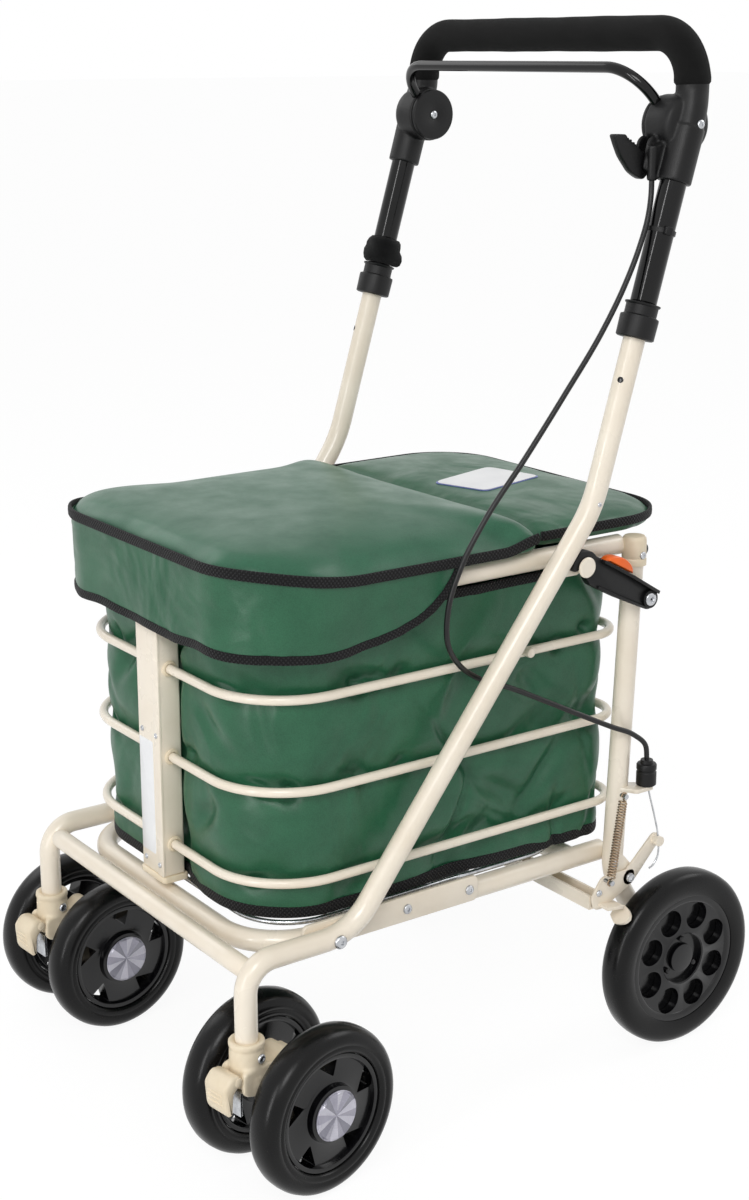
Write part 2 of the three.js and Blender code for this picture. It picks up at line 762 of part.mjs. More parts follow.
function wire_floor() {
  const middle = (floor_front_y + floor_rear_y) / 2;
  const right = [-floor_half_width, middle, floor_height];
  const loop = tube(rounded([
    [0, floor_front_y, floor_height],
    [floor_half_width, floor_front_y, floor_height, floor_corner_radius],
    [floor_half_width, floor_rear_y, floor_height, floor_corner_radius],
    [-floor_half_width, floor_rear_y, floor_height, floor_corner_radius],
    [-floor_half_width, floor_front_y, floor_height, floor_corner_radius],
    [-wire_radius, floor_front_y, floor_height],
  ]), wire_radius, wire_sides);
  const closing = bar_x(wire_radius, -wire_radius * 3, wire_radius * 3, floor_front_y, floor_height, wire_sides);
  const length = floor_rear_y - floor_front_y;
  const across = Array.from({ length: floor_cross_wires }, (_, i) => {
    const y = THREE.MathUtils.lerp(floor_front_y, floor_rear_y, spaced_share(i, floor_cross_wires));
    return bar_x(wire_radius, right[0], -right[0], y, cross_height, wire_sides);
  });
  const along = Array.from({ length: floor_long_wires }, (_, i) => {
    const x = THREE.MathUtils.lerp(-floor_half_width, floor_half_width, spaced_share(i, floor_long_wires));
    const wire = new THREE.CylinderGeometry(wire_radius, wire_radius, length, wire_sides);
    return wire.translate(x, middle, cross_height - wire_radius / 2);
  });
  return join(loop, closing, ...across, ...along);
}

add('wire_floor', wire_floor(), steel);

// Rear legs: a tube from the seat frame down to the wheel's axle, with the axle pin and the
// bracket that the brake turns on, and a moulded cap at the top
const bracket_outer_x = leg_half_width + frame_tube_radius + fit * 2;
const leg_slope = (leg_top_y - leg_foot_y) / (leg_top_height - leg_foot_height);

function on_leg(z) {
  return leg_foot_y + (z - leg_foot_height) * leg_slope;
}

function rear_leg(side) {
  const route = rounded([
    [side * leg_half_width, leg_top_y, leg_top_height],
    [side * leg_half_width, leg_foot_y, leg_foot_height, leg_bend_radius],
    [side * axle_half_width, rear_axle_y, axle_height],
  ]);
  const axle_end = rear_wheel_half_width + rear_hub_width / 2 + fit;
  const axle = bar_x(rear_axle_radius, side * axle_half_width, side * axle_end, rear_axle_y, axle_height, tube_sides);
  const knuckle = bar_x(frame_tube_radius, side * (axle_half_width - frame_tube_radius),
    side * (axle_half_width + frame_tube_radius), rear_axle_y, axle_height, tube_sides);
  const inner_x = bracket_outer_x - plate_thickness;
  const bracket_half = brake_pivot_radius * 2;
  const bracket = [
    [on_leg(brake_pivot_height) - bracket_half, brake_pivot_height + bracket_half * 3],
    [on_leg(brake_pivot_height) - bracket_half, brake_pivot_height - bracket_half / 2],
    [brake_pivot_y + bracket_half, brake_pivot_height - bracket_half],
    [brake_pivot_y + bracket_half, brake_pivot_height + bracket_half],
    [on_leg(brake_pivot_height) + bracket_half / 2, brake_pivot_height + bracket_half * 3],
  ];
  const pivot_end = bracket_outer_x + running_gap + brake_plate_thickness + bolt_head_height;
  const parts = [
    tube(route, frame_tube_radius), axle, knuckle,
    plate_x(bracket, side * inner_x, side * bracket_outer_x),
    bar_x(lock_bolt_radius, side * leg_half_width, side * lock_head_end_x, lock_bolt_y, lock_bolt_height),
    bar_x(lock_bolt_head_radius, side * lock_head_x, side * lock_head_end_x, lock_bolt_y, lock_bolt_height),
    bar_x(brake_pivot_radius, side * inner_x, side * pivot_end, brake_pivot_y, brake_pivot_height, tube_sides),
  ];
  if (side > 0) {
    const shelf = block(leg_half_width, adjuster_half_width + adjuster_radius, on_leg(adjuster_height) - plate_thickness,
      adjuster_y + adjuster_radius, adjuster_height - plate_thickness - fit, adjuster_height - fit);
    parts.push(shelf, bar_x(spring_peg_radius, leg_half_width, spring_half_width + spring_coil_radius, spring_top_y,
      spring_top_height, rod_sides));
  }
  const wire_hole = bar_z(brake_wire_radius + running_gap, side * adjuster_half_width, adjuster_y,
    adjuster_height - plate_thickness - overrun, adjuster_height + overrun, rod_sides);
  return side > 0 ? cut(join(...parts), wire_hole) : join(...parts);
}

function leg_cap(side) {
  const x = side * leg_half_width;
  const low = leg_cap_top - leg_cap_length;
  const outer = bar_z(leg_cap_radius, x, leg_top_y, low, leg_cap_top);
  const inside = rounded([[x, on_leg(low - overrun), low - overrun], [x, leg_top_y, leg_top_height + fit]]);
  return cut(outer, tube(inside, frame_tube_radius + fit * 2, round_sides));
}

sides.forEach((side, i) => {
  add(`rear_leg_${side_names[i]}`, rear_leg(side), cream);
  add(`leg_cap_${side_names[i]}`, leg_cap(side), cream_plastic);
});

// Seat frame: a tube round the front and both sides, from cap to cap
const seat_end_y = leg_top_y - leg_cap_radius - fit;
add('seat_frame', tube(rounded([
  [seat_half_width, seat_end_y, seat_frame_height],
  [seat_half_width, seat_front_y, seat_frame_height, seat_corner_radius],
  [-seat_half_width, seat_front_y, seat_frame_height, seat_corner_radius],
  [-seat_half_width, seat_end_y, seat_frame_height],
]), seat_tube_radius), cream);

// Bag: an open-topped shell inside the hoops, standing on the wire floor
const bag_half_width = hoop_half_width - hoop_radius - bag_gap;
const bag_front_y = foot_front_y + foot_depth + fit;
const bag_rear_y = hoop_rear_y - hoop_radius - bag_gap;
const bag_bottom = cross_height + wire_radius + fit;

function bag() {
  const ring = (inset) => plan_outline(bag_half_width - inset, bag_front_y + inset, bag_rear_y - inset,
    bag_corner_radius - inset, bag_rear_radius - inset);
  const outer = slab(ring(0), bag_bottom, bag_top_height);
  const inner = slab(ring(bag_wall), bag_bottom + bag_wall, bag_top_height + overrun);
  return cut(outer, inner);
}

add('bag', bag(), green_leatherette);

// A padded panel: rings of one outline that draw in at the sides and rise to a crown. Along the
// fold its edge stands at the fold's own height, so that the two panels can turn against each other
function padded_panel(outline, low, rim, crown, rings = cushion_rings) {
  const rim_at = (y) => (Math.abs(y - lid_fold_y) < running_gap ? lid_fold_height : rim);
  const count = outline.length;
  const middle_x = outline.reduce((sum, p) => sum + p[0], 0) / count;
  const middle_y = outline.reduce((sum, p) => sum + p[1], 0) / count;
  const levels = [[1, -1], [1, 0]];
  for (let k = 1; k < rings; k += 1) {
    const inward = 1 - (k / rings) ** edge_power;
    levels.push([inward, (1 - inward ** crown_power) ** (1 / 2)]);
  }
  const positions = [];
  for (const [inward, rise] of levels) {
    for (const [x, y] of outline) {
      const edge = rim_at(y);
      const z = rise < 0 ? low : edge + (rim + crown - edge) * rise;
      positions.push(middle_x + (x - middle_x) * inward, middle_y + (y - middle_y) * inward, z);
    }
  }
  const top = positions.length / 3;
  positions.push(middle_x, middle_y, rim + crown);
  const bottom = top + 1;
  positions.push(middle_x, middle_y, low);
  const index = [];
  for (let k = 0; k < levels.length - 1; k += 1) {
    for (let i = 0; i < count; i += 1) {
      const a = k * count + i;
      const b = k * count + ((i + 1) % count);
      index.push(a, b, b + count, a, b + count, a + count);
    }
  }
  const last = (levels.length - 1) * count;
  for (let i = 0; i < count; i += 1) {
    index.push(last + i, last + ((i + 1) % count), top);
    index.push((i + 1) % count, i, bottom);
  }
  const geometry = new THREE.BufferGeometry();
  geometry.setAttribute('position', new THREE.BufferAttribute(new Float32Array(positions), 3));
  geometry.setIndex(index);
  return geometry;
}

// Seat lid: the padded seat with a skirt that hangs round its front and sides, its hem rising
// towards the rear where it ends
function seat_lid() {
  const ring = (inset, steps) => plan_outline(lid_half_width - inset, lid_front_y + inset, lid_fold_y - fit,
    lid_corner_radius - inset, fit, steps);
  const edge = ring(0, bend_steps).filter((p, i) => i <= bend_steps || i >= 3 * (bend_steps + 1) || p[1] > 0);
  const pad = padded_panel(edge, seat_top, lid_rim_height + skirt_thickness, lid_crown - skirt_thickness);
  const skirt_bottom = lid_rim_height - skirt_drop;
  const band = cut(
    slab(ring(0, cushion_edge_points), skirt_bottom, lid_rim_height),
    slab(ring(skirt_thickness, cushion_edge_points), skirt_bottom - overrun, lid_rim_height + overrun),
    block(-lid_half_width - overrun, lid_half_width + overrun, skirt_rear_y, lid_fold_y + overrun,
      skirt_bottom - overrun, lid_rim_height + overrun),
  );
  const hem_shares = [[0.55, 0], [0.74, 0.12], [0.88, 0.34], [0.97, 0.7], [1.03, 1.1], [1.03, -0.2], [0.55, -0.2]];
  const hem = hem_shares.map(([a, b]) => [
    lid_front_y + a * (skirt_rear_y - lid_front_y),
    skirt_bottom + b * (seat_top - skirt_bottom),
  ]);
  const skirt = cut(band, plate_x(hem, -lid_half_width - overrun, lid_half_width + overrun));
  return join(pad, skirt);
}

add('seat_lid', seat_lid(), green_leatherette);

// Rear flap: the flatter padded panel behind the fold
const flap_outline = plan_outline(flap_half_width, lid_fold_y + fit, flap_rear_y, fit, flap_corner_radius);
add('rear_flap', padded_panel(flap_outline, seat_top, seat_top + flap_thickness, flap_crown), green_leatherette);

// Wheels: a tyre profile turned round the axle, on a hub that keeps a small gap
function tyre(radius, rim, width) {
  const half = width / 2;
  const profile_shares = [[0, -0.84], [0.2, -1], [0.66, -0.88], [0.93, -0.48], [1, 0]];
  const full = [...profile_shares, ...profile_shares.slice(0, -1).reverse().map(([a, b]) => [a, -b])];
  const points = full.map(([a, b]) => new THREE.Vector2(rim + a * (radius - rim), b * half));
  points.push(points[0].clone());
  const geometry = new THREE.LatheGeometry(points, wheel_sides);
  return geometry.rotateZ(Math.PI / 2);
}

function hub_disc(radius, width, bore, holes) {
  const circle = (r, count, shift = 0) => Array.from({ length: count }, (_, i) => {
    const angle = (2 * Math.PI * i) / count + shift;
    return [r * Math.cos(angle), r * Math.sin(angle)];
  });
  const rings = [circle(bore, tube_sides), ...holes];
  return plate_x(circle(radius, wheel_sides), -width / 2, width / 2, rings);
}

function slot_holes() {
  const slot_shares = [[0.62, -0.18], [0.9, -0.2], [0.88, 0.16]];
  return Array.from({ length: slot_count }, (_, i) => {
    const turn = (2 * Math.PI * i) / slot_count;
    return slot_shares.map(([out, along]) => {
      const radius = out * caster_rim_radius;
      const angle = turn + along;
      return [radius * Math.cos(angle), radius * Math.sin(angle)];
    });
  });
}

function pocket_holes() {
  return Array.from({ length: pocket_count }, (_, i) => {
    const turn = (2 * Math.PI * i) / pocket_count;
    return circle_points(pocket_radius, rod_sides).map(([a, b]) => [
      pocket_circle_radius * Math.cos(turn) + a,
      pocket_circle_radius * Math.sin(turn) + b,
    ]);
  });
}

// Casters: the housing swivels round the foot of the handle tube and carries the axle, two wheels
// and a foot pedal
function caster_housing() {
  const socket = bar_z(socket_radius, 0, 0, socket_floor_height - fit, socket_height);
  const front = -housing_front_share;
  const side_shares = [[front, 1], [0.35, 1], [0.75, 0.75], [1.22, -0.1], [1.22, -0.75], [0.95, -1], [0.35, -0.55],
    [-0.3, -0.1], [front, 0.3]];
  const height = socket_floor_height - housing_bottom_height;
  const outline = side_shares.map(([a, b]) => [
    a * caster_trail,
    housing_bottom_height + (b > 0 ? b * height : -b * (caster_wheel_radius - caster_axle_radius * 2 - housing_bottom_height)),
  ]);
  const body = plate_x(outline, -housing_half_width, housing_half_width);
  const stem_hole = bar_z(handle_tube_radius + running_gap, 0, 0, stem_bottom_height - fit, socket_height + overrun);
  const axle_hole = bar_x(caster_axle_radius + fit, -housing_half_width - overrun, housing_half_width + overrun,
    caster_trail, caster_wheel_radius);
  const fork_slot = block(-fork_half_width - fit, fork_half_width + fit, -caster_trail, caster_trail * 2,
    caster_wheel_radius - caster_axle_radius * 3, pedal_pin_height - pedal_pin_radius * 3);
  return cut(join(socket, body), stem_hole, axle_hole, fork_slot);
}

function caster_axle() {
  const reach = caster_wheel_spacing / 2 + caster_hub_width / 2;
  const pin = bar_x(caster_axle_radius, -reach, reach, caster_trail, caster_wheel_radius, tube_sides);
  const top = pedal_pin_height - pedal_pin_radius * 3 - fit;
  const plate = block(-fork_half_width, fork_half_width, -caster_trail / 3, caster_trail + caster_axle_radius * 2,
    top - fork_thickness, top);
  const web = block(-fork_half_width, fork_half_width, caster_trail - caster_axle_radius, caster_trail + caster_axle_radius,
    caster_wheel_radius, top - fork_thickness / 2);
  const front = block(-fork_half_width, fork_half_width, -caster_trail / 3, -caster_trail / 3 + fork_thickness,
    caster_wheel_radius, top - fork_thickness / 2);
  return join(pin, plate, web, front);
}

function caster_pedal() {
  const half = pedal_width / 2;
  const y = pedal_pin_y;
  const boss = bar_x(pedal_thickness / 2, -half, half, y - pedal_thickness / 2, pedal_pin_height, tube_sides);
  const tongue_shares = [[0, 0.16], [-0.28, 0.2], [-0.5, -0.1], [-0.42, -0.85], [-0.22, -1], [-0.12, -0.3], [0, -0.12]];
  const outline = tongue_shares.map(([a, b]) => [
    y - pedal_thickness / 2 + a * pedal_length,
    pedal_pin_height + b * pedal_length,
  ]);
  return join(boss, plate_x(outline, -half, half));
}

const wheel_names = ['outer', 'inner'];
sides.forEach((side, i) => {
  const caster = new THREE.Group();
  caster.position.set(side * stem_half_width, 0, 0);
  caster.rotation.z = caster_yaws[i];
  group.add(caster);
  add(`caster_housing_${side_names[i]}`, caster_housing(), cream_plastic, caster);
  add(`caster_axle_${side_names[i]}`, caster_axle(), steel, caster);
  add(`caster_pedal_${side_names[i]}`, caster_pedal(), cream_plastic, caster);
  wheel_names.forEach((which, k) => {
    const wheel = new THREE.Group();
    const out = k === 0 ? side : -side;
    wheel.position.set((out * caster_wheel_spacing) / 2, caster_trail, caster_wheel_radius);
    wheel.scale.x = out;
    caster.add(wheel);
    const bore = caster_axle_radius + running_gap;
    const disc = hub_disc(caster_rim_radius, caster_hub_width, bore, slot_holes());
    const face = caster_hub_width / 2;
    const boss = bar_x(caster_hub_boss_radius, face + fit, face + bolt_head_height, 0, 0);
    const neck = cut(bar_x(caster_hub_boss_radius, face - fit, face + bolt_head_height, 0, 0),
      bar_x(bore, 0, face + running_gap, 0, 0, tube_sides));
    add(`caster_hub_${side_names[i]}_${which}`, join(disc, neck, boss), black_plastic, wheel);
    add(`caster_tyre_${side_names[i]}_${which}`, tyre(caster_wheel_radius, caster_rim_radius + fit * 2,
      caster_tyre_width), black_rubber, wheel);
  });
});

// Rear wheels
sides.forEach((side, i) => {
  const wheel = new THREE.Group();
  wheel.position.set(side * rear_wheel_half_width, rear_axle_y, axle_height);
  wheel.scale.x = side;
  group.add(wheel);
  const disc = hub_disc(rear_rim_radius, rear_hub_width, rear_axle_radius + running_gap, pocket_holes());
  const face = rear_hub_width / 2;
  const cap = cut(bar_x(rear_boss_radius, face - fit, face + bolt_head_height, 0, 0),
    bar_x(rear_axle_radius + running_gap, 0, face + running_gap, 0, 0, tube_sides));
  add(`rear_hub_${side_names[i]}`, join(disc, cap), black_plastic, wheel);
  add(`rear_tyre_${side_names[i]}`, tyre(rear_wheel_radius, rear_rim_radius + fit * 2, rear_tyre_width),
    black_rubber, wheel);
});

// Rear brake: a channel across, hung from a plate on each side, with a shoe in front of each tyre
const brake_inner_x = bracket_outer_x + running_gap;
const brake_outer_x = brake_inner_x + brake_plate_thickness;
const shoe_radius = rear_wheel_radius + shoe_gap;
const shoe_angle = Math.atan2(channel_height - axle_height, channel_y - rear_axle_y);

function shoe(side) {
  const half = shoe_width / 2;
  const arc = [0.24, 0.12, 0, -0.12, -0.24].map((turn) => shoe_angle + turn);
  const inner = arc.map((a) => [rear_axle_y + shoe_radius * Math.cos(a), axle_height + shoe_radius * Math.sin(a)]);
  const outer_radius = shoe_radius + shoe_thickness;
  const outer = [...arc].reverse().map((a) => [
    rear_axle_y + outer_radius * Math.cos(a),
    axle_height + outer_radius * Math.sin(a),
  ]);
  const middle = rear_wheel_half_width;
  return plate_x([...inner, ...outer], side * (middle - half), side * (middle + half));
}

function brake_plate(side) {
  const r = brake_pivot_radius * 2;
  const lower = [
    [channel_y - r, channel_height + r / 2],
    [channel_y - r / 2, channel_height - r],
    [channel_y + r, channel_height - r],
    [brake_pivot_y + r, brake_pivot_height - r / 2],
    [brake_pivot_y + r / 2, brake_pivot_height + r],
    [channel_y + r / 2, brake_pivot_height + r],
  ];
  const bars = [plate_x(lower, side * brake_inner_x, side * brake_outer_x), shoe(side)];
  const reach = rear_wheel_half_width - shoe_width / 2;
  const web_y = rear_axle_y + (shoe_radius + shoe_thickness / 2) * Math.cos(shoe_angle);
  const web_z = axle_height + (shoe_radius + shoe_thickness / 2) * Math.sin(shoe_angle);
  bars.push(block(side * brake_inner_x, side * (reach + shoe_width / 2), channel_y + channel_depth / 2 - running_gap,
    web_y, web_z - shoe_thickness, channel_height));
  if (side > 0) {
    const along = Math.atan2(nipple_height - brake_pivot_height, nipple_y - brake_pivot_y);
    const across = [-Math.sin(along) * r, Math.cos(along) * r];
    const arm = [
      [brake_pivot_y - across[0], brake_pivot_height - across[1]],
      [nipple_y - across[0] * 0.8, nipple_height - across[1] * 0.8],
      [nipple_y + across[0] * 0.8, nipple_height + across[1] * 0.8],
      [brake_pivot_y + across[0], brake_pivot_height + across[1]],
    ];
    bars.push(plate_x(arm, brake_inner_x, brake_outer_x));
    bars.push(bar_x(r * 0.8, brake_inner_x, brake_outer_x, nipple_y, nipple_height, tube_sides));
    bars.push(bar_x(nipple_radius, brake_inner_x, adjuster_half_width + nipple_radius, nipple_y, nipple_height,
      tube_sides));
    bars.push(bar_x(spring_peg_radius, brake_inner_x, spring_half_width + spring_coil_radius, spring_foot_y,
      spring_foot_height, rod_sides));
    bars.push(bar_x(spring_peg_radius * 2, brake_inner_x, brake_outer_x, spring_foot_y, spring_foot_height,
      rod_sides));
  }
  const hole = bar_x(brake_pivot_radius + fit, side * (brake_inner_x - overrun), side * (brake_outer_x + overrun * 3),
    brake_pivot_y, brake_pivot_height, tube_sides);
  return cut(join(...bars), hole);
}

const channel_end = brake_inner_x - fit;

function brake_channel() {
  const half_y = channel_depth / 2;
  const half_z = channel_thickness / 2;
  const outline = [
    [channel_y - half_y, channel_height - half_z],
    [channel_y + half_y, channel_height - half_z],
    [channel_y + half_y, channel_height + half_z],
    [channel_y + half_y - channel_wall, channel_height + half_z],
    [channel_y + half_y - channel_wall, channel_height - half_z + channel_wall],
    [channel_y - half_y + channel_wall, channel_height - half_z + channel_wall],
    [channel_y - half_y + channel_wall, channel_height + half_z],
    [channel_y - half_y, channel_height + half_z],
  ];
  return plate_x(outline, -channel_end, channel_end);
}

add('brake_channel', brake_channel(), cream);
sides.forEach((side, i) => {
  add(`brake_plate_${side_names[i]}`, brake_plate(side), cream);
});

// Brake spring: one wire wound between the peg on the leg and the peg on the brake plate, with
// straight ends
function spring_points() {
  const top = new THREE.Vector3(spring_half_width, spring_top_y, spring_top_height);
  const foot = new THREE.Vector3(spring_half_width, spring_foot_y, spring_foot_height);
  const axis = foot.clone().sub(top);
  const length = axis.length();
  axis.normalize();
  const side_way = new THREE.Vector3(1, 0, 0);
  const other_way = axis.clone().cross(side_way);
  const end_gap = spring_peg_radius + fit;
  const straight = spring_wire_radius * 2;
  const lead = spring_wire_radius * 8;
  const first = end_gap + lead;
  const wound = length - 2 * first;
  const per_turn = 8;
  const count = spring_turns * per_turn;
  const on_axis = (along) => top.clone().addScaledVector(axis, along);
  const points = [on_axis(end_gap), on_axis(end_gap + straight)];
  for (let i = 0; i <= count; i += 1) {
    const angle = (2 * Math.PI * i) / per_turn;
    points.push(on_axis(first + (wound * i) / count)
      .addScaledVector(other_way, spring_coil_radius * Math.cos(angle))
      .addScaledVector(side_way, spring_coil_radius * Math.sin(angle)));
  }
  points.push(on_axis(length - end_gap - straight), on_axis(length - end_gap));
  const pitch = wound / spring_turns;
  let least = Infinity;
  points.forEach((a, i) => points.slice(i + per_turn / 2 + 1).forEach((b) => {
    least = Math.min(least, a.distanceTo(b));
  }));
  console.log(`brake spring: pitch ${pitch.toFixed(2)}, least gap ${(least - 2 * spring_wire_radius).toFixed(2)} mm`);
  return points;
}

add('brake_spring', tube(spring_points(), spring_wire_radius, rod_sides - 3), brass_wire);

// Cable adjuster on its shelf, and the thin wire from it to the brake arm
add('cable_adjuster', cut(
  bar_z(adjuster_radius, adjuster_half_width, adjuster_y, adjuster_height, adjuster_height + adjuster_length,
    rod_sides - 2),
  bar_z(brake_wire_radius + running_gap, adjuster_half_width, adjuster_y, adjuster_height - overrun,
    adjuster_height + adjuster_length / 2, rod_sides),
), black_plastic);
add('brake_wire', tube([
  new THREE.Vector3(adjuster_half_width, adjuster_y, adjuster_height + adjuster_length / 3),
  new THREE.Vector3(adjuster_half_width, adjuster_y, adjuster_height - plate_thickness - running_gap),
  new THREE.Vector3(adjuster_half_width, nipple_y - fit, nipple_height + nipple_radius + running_gap),
], brake_wire_radius, rod_sides - 2), steel);

// Brake cable: its route is a list of points chosen by hand, in two pieces that meet in mid-air
// stretch where the telescopic part ends
const cable_upper_route = [
  [190.5, 427, 836.7], [191.5, 426, 826], [196, 418.5, 804], [199, 407, 780], [200.5, 389, 747], [201, 366, 712],
];
const cable_lower_route = [
  [201, 365.7, 711.6], [200, 322, 656], [198.5, 282, 607], [196.5, 242, 560], [194.5, 218, 522],
  [192, 206, 487], [188, 208, 452], [182, 225, 428], [177.5, 253, 408], [177.5, 290, 392], [181.5, 326, 374],
  [188, 361, 356], [193.5, 397, 338], [196, 422, 326], [197, 437, 312], [197, 439, 298.8],
];

function cable(route) {
  const curve = new THREE.CatmullRomCurve3(route.map((p) => new THREE.Vector3(...p)), false, 'centripetal');
  const steps = Math.round(route.length * 2.2);
  return new THREE.ExtrudeGeometry(polygon(circle_points(cable_radius, rod_sides)), {
    steps, extrudePath: curve, bevelEnabled: false,
  });
}

add('brake_cable_upper', cable(cable_upper_route), black_plastic);
add('brake_cable_lower', cable(cable_lower_route), black_plastic);

// The origin goes to the middle of the footprint, on the floor
group.updateMatrixWorld(true);
const bounds = new THREE.Box3().setFromObject(group, true);
group.position.set(-(bounds.min.x + bounds.max.x) / 2, -(bounds.min.y + bounds.max.y) / 2, -bounds.min.z);
group.updateMatrixWorld(true);
console.log('origin shift', group.position.toArray().map((v) => v.toFixed(3)).join(' '));

export default group;
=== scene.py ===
# The looks of a shopping rollator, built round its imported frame. Shapes are worked out in
# millimetres from the caster stems and the floor, +Y to the rear and +X to the user's left, and
# place() turns them into metres in the frame.
import math

import bpy
import numpy as np
from mathutils import Matrix


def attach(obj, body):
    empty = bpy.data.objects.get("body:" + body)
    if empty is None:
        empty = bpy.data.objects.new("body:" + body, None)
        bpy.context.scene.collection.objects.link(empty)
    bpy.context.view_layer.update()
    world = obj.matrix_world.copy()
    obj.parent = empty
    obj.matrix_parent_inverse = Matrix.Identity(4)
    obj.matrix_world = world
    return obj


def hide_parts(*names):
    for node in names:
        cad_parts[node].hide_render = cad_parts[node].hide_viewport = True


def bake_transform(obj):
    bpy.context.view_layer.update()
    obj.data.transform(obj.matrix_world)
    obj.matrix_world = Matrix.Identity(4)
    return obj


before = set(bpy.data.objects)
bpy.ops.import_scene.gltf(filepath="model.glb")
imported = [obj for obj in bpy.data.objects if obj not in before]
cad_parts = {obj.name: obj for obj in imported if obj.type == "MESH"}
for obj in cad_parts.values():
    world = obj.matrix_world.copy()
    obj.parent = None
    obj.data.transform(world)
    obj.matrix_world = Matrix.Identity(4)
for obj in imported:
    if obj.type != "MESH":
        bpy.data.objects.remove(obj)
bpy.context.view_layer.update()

# Camera
# A long lens in front of the rollator on the user's left, level with the grip and looking down
# on the seat lid.
origin_shift = np.array([3.049, -265.048, 0.0])
camera_eye = (1460.71, -770.26, 947.40)
camera_right = (0.57655, 0.81706, -0.00298)
camera_up = (-0.20366, 0.14724, 0.96791)
camera_ahead = (-0.79128, 0.55744, -0.25129)
photo_width, photo_height = 749, 1200
focal_pixels = 1945.39
lens_centre = (370.02, 554.89)


def place(points):
    """Points in millimetres from the caster stems, as metres in the frame: (point + shift) / 1000."""
    return (np.asarray(points, float) + origin_shift) * 0.001


camera_lens = bpy.data.cameras.new("camera")
camera = bpy.data.objects.new("camera", camera_lens)
bpy.context.scene.collection.objects.link(camera)
bpy.context.scene.camera = camera
camera_lens.sensor_width = 36
camera_lens.lens = focal_pixels / photo_height * camera_lens.sensor_width
camera_lens.shift_x = (photo_width / 2 - lens_centre[0]) / photo_height
camera_lens.shift_y = (lens_centre[1] - photo_height / 2) / photo_height
camera_lens.clip_start, camera_lens.clip_end = 0.05, 300
camera_frame = np.eye(4)
camera_frame[:3] = np.column_stack([camera_right, camera_up, -np.array(camera_ahead), place(camera_eye)])
camera.matrix_world = Matrix(camera_frame.tolist())

# Floor, lamps and sky
# A pale floor that keeps the shadow, a white sky, three wide soft lamps, and a tall narrow one at the
# front that draws the long highlights down the tubes.


def fill(tree, node, values):
    """Puts values into a node's sockets, as links or as numbers."""
    for key, value in values.items():
        if isinstance(value, bpy.types.NodeSocket):
            tree.links.new(value, node.inputs[key])
        else:
            node.inputs[key].default_value = value
    return node


def add_node(tree, kind, values=None, **settings):
    """One shader node, with its own fields set and its sockets filled."""
    made = tree.nodes.new(kind)
    for key, value in settings.items():
        setattr(made, key, value)
    return fill(tree, made, values or {})


def new_finish(name):
    """A new material, its tree of nodes and its Principled shader."""
    material = bpy.data.materials.new(name)
    material.use_nodes = True
    return material, material.node_tree, material.node_tree.nodes["Principled BSDF"]


def shade(red, green, blue):
    """A colour of 0 to 255 on a screen as a shader's linear colour: ((c + 0.055) / 1.055) ^ 2.4."""
    share = np.array([red, green, blue]) / 255
    linear = np.where(share <= 0.04045, share / 12.92, ((share + 0.055) / 1.055) ** 2.4)
    return (*linear.tolist(), 1.0)


def seen_by_eye(tree):
    """1 for rays of the camera, of reflections and of clear glass, and 0 for the light on the object."""
    path = add_node(tree, "ShaderNodeLightPath").outputs
    either = add_node(tree, "ShaderNodeMath", {0: path["Is Camera Ray"], 1: path["Is Glossy Ray"]},
                      operation="MAXIMUM")
    every = add_node(tree, "ShaderNodeMath", {0: either.outputs[0], 1: path["Is Transmission Ray"]},
                     operation="MAXIMUM")
    return every.outputs[0]


floor_reach, floor_strength, floor_glow_share = 60, 1.07, 0.86
sky_light, sky_seen = 0.43, 1.0
lamp_target = np.array([0, 0, 0.45])

floor_mesh = bpy.data.meshes.new("floor")
floor_mesh.from_pydata([(-floor_reach, -floor_reach, 0), (floor_reach, -floor_reach, 0),
                        (floor_reach, floor_reach, 0), (-floor_reach, floor_reach, 0)], [], [(0, 1, 2, 3)])
floor = bpy.data.objects.new("floor", floor_mesh)
bpy.context.scene.collection.objects.link(floor)
floor_finish, floor_tree, floor_shader = new_finish("pale_floor")
fill(floor_tree, floor_shader, {"Base Color": shade(236, 236, 236), "Roughness": 0.75})
floor_glow = add_node(floor_tree, "ShaderNodeEmission", {"Color": (1, 1, 1, 1), "Strength": floor_strength})
floor_share = add_node(floor_tree, "ShaderNodeMath", {0: seen_by_eye(floor_tree), 1: floor_glow_share},
                       operation="MULTIPLY")
floor_mix = add_node(floor_tree, "ShaderNodeMixShader", {
    "Fac": floor_share.outputs[0], 1: floor_shader.outputs[0], 2: floor_glow.outputs[0]})
fill(floor_tree, floor_tree.nodes["Material Output"], {"Surface": floor_mix.outputs[0]})
floor_mesh.materials.append(floor_finish)

sky = bpy.data.worlds.new("sky")
sky.use_nodes = True
bpy.context.scene.world = sky
sky_strength = add_node(sky.node_tree, "ShaderNodeMapRange", {
    "Value": seen_by_eye(sky.node_tree), "To Min": sky_light, "To Max": sky_seen})
fill(sky.node_tree, sky.node_tree.nodes["Background"], {
    "Strength": sky_strength.outputs[0], "Color": (1, 1, 1, 1)})

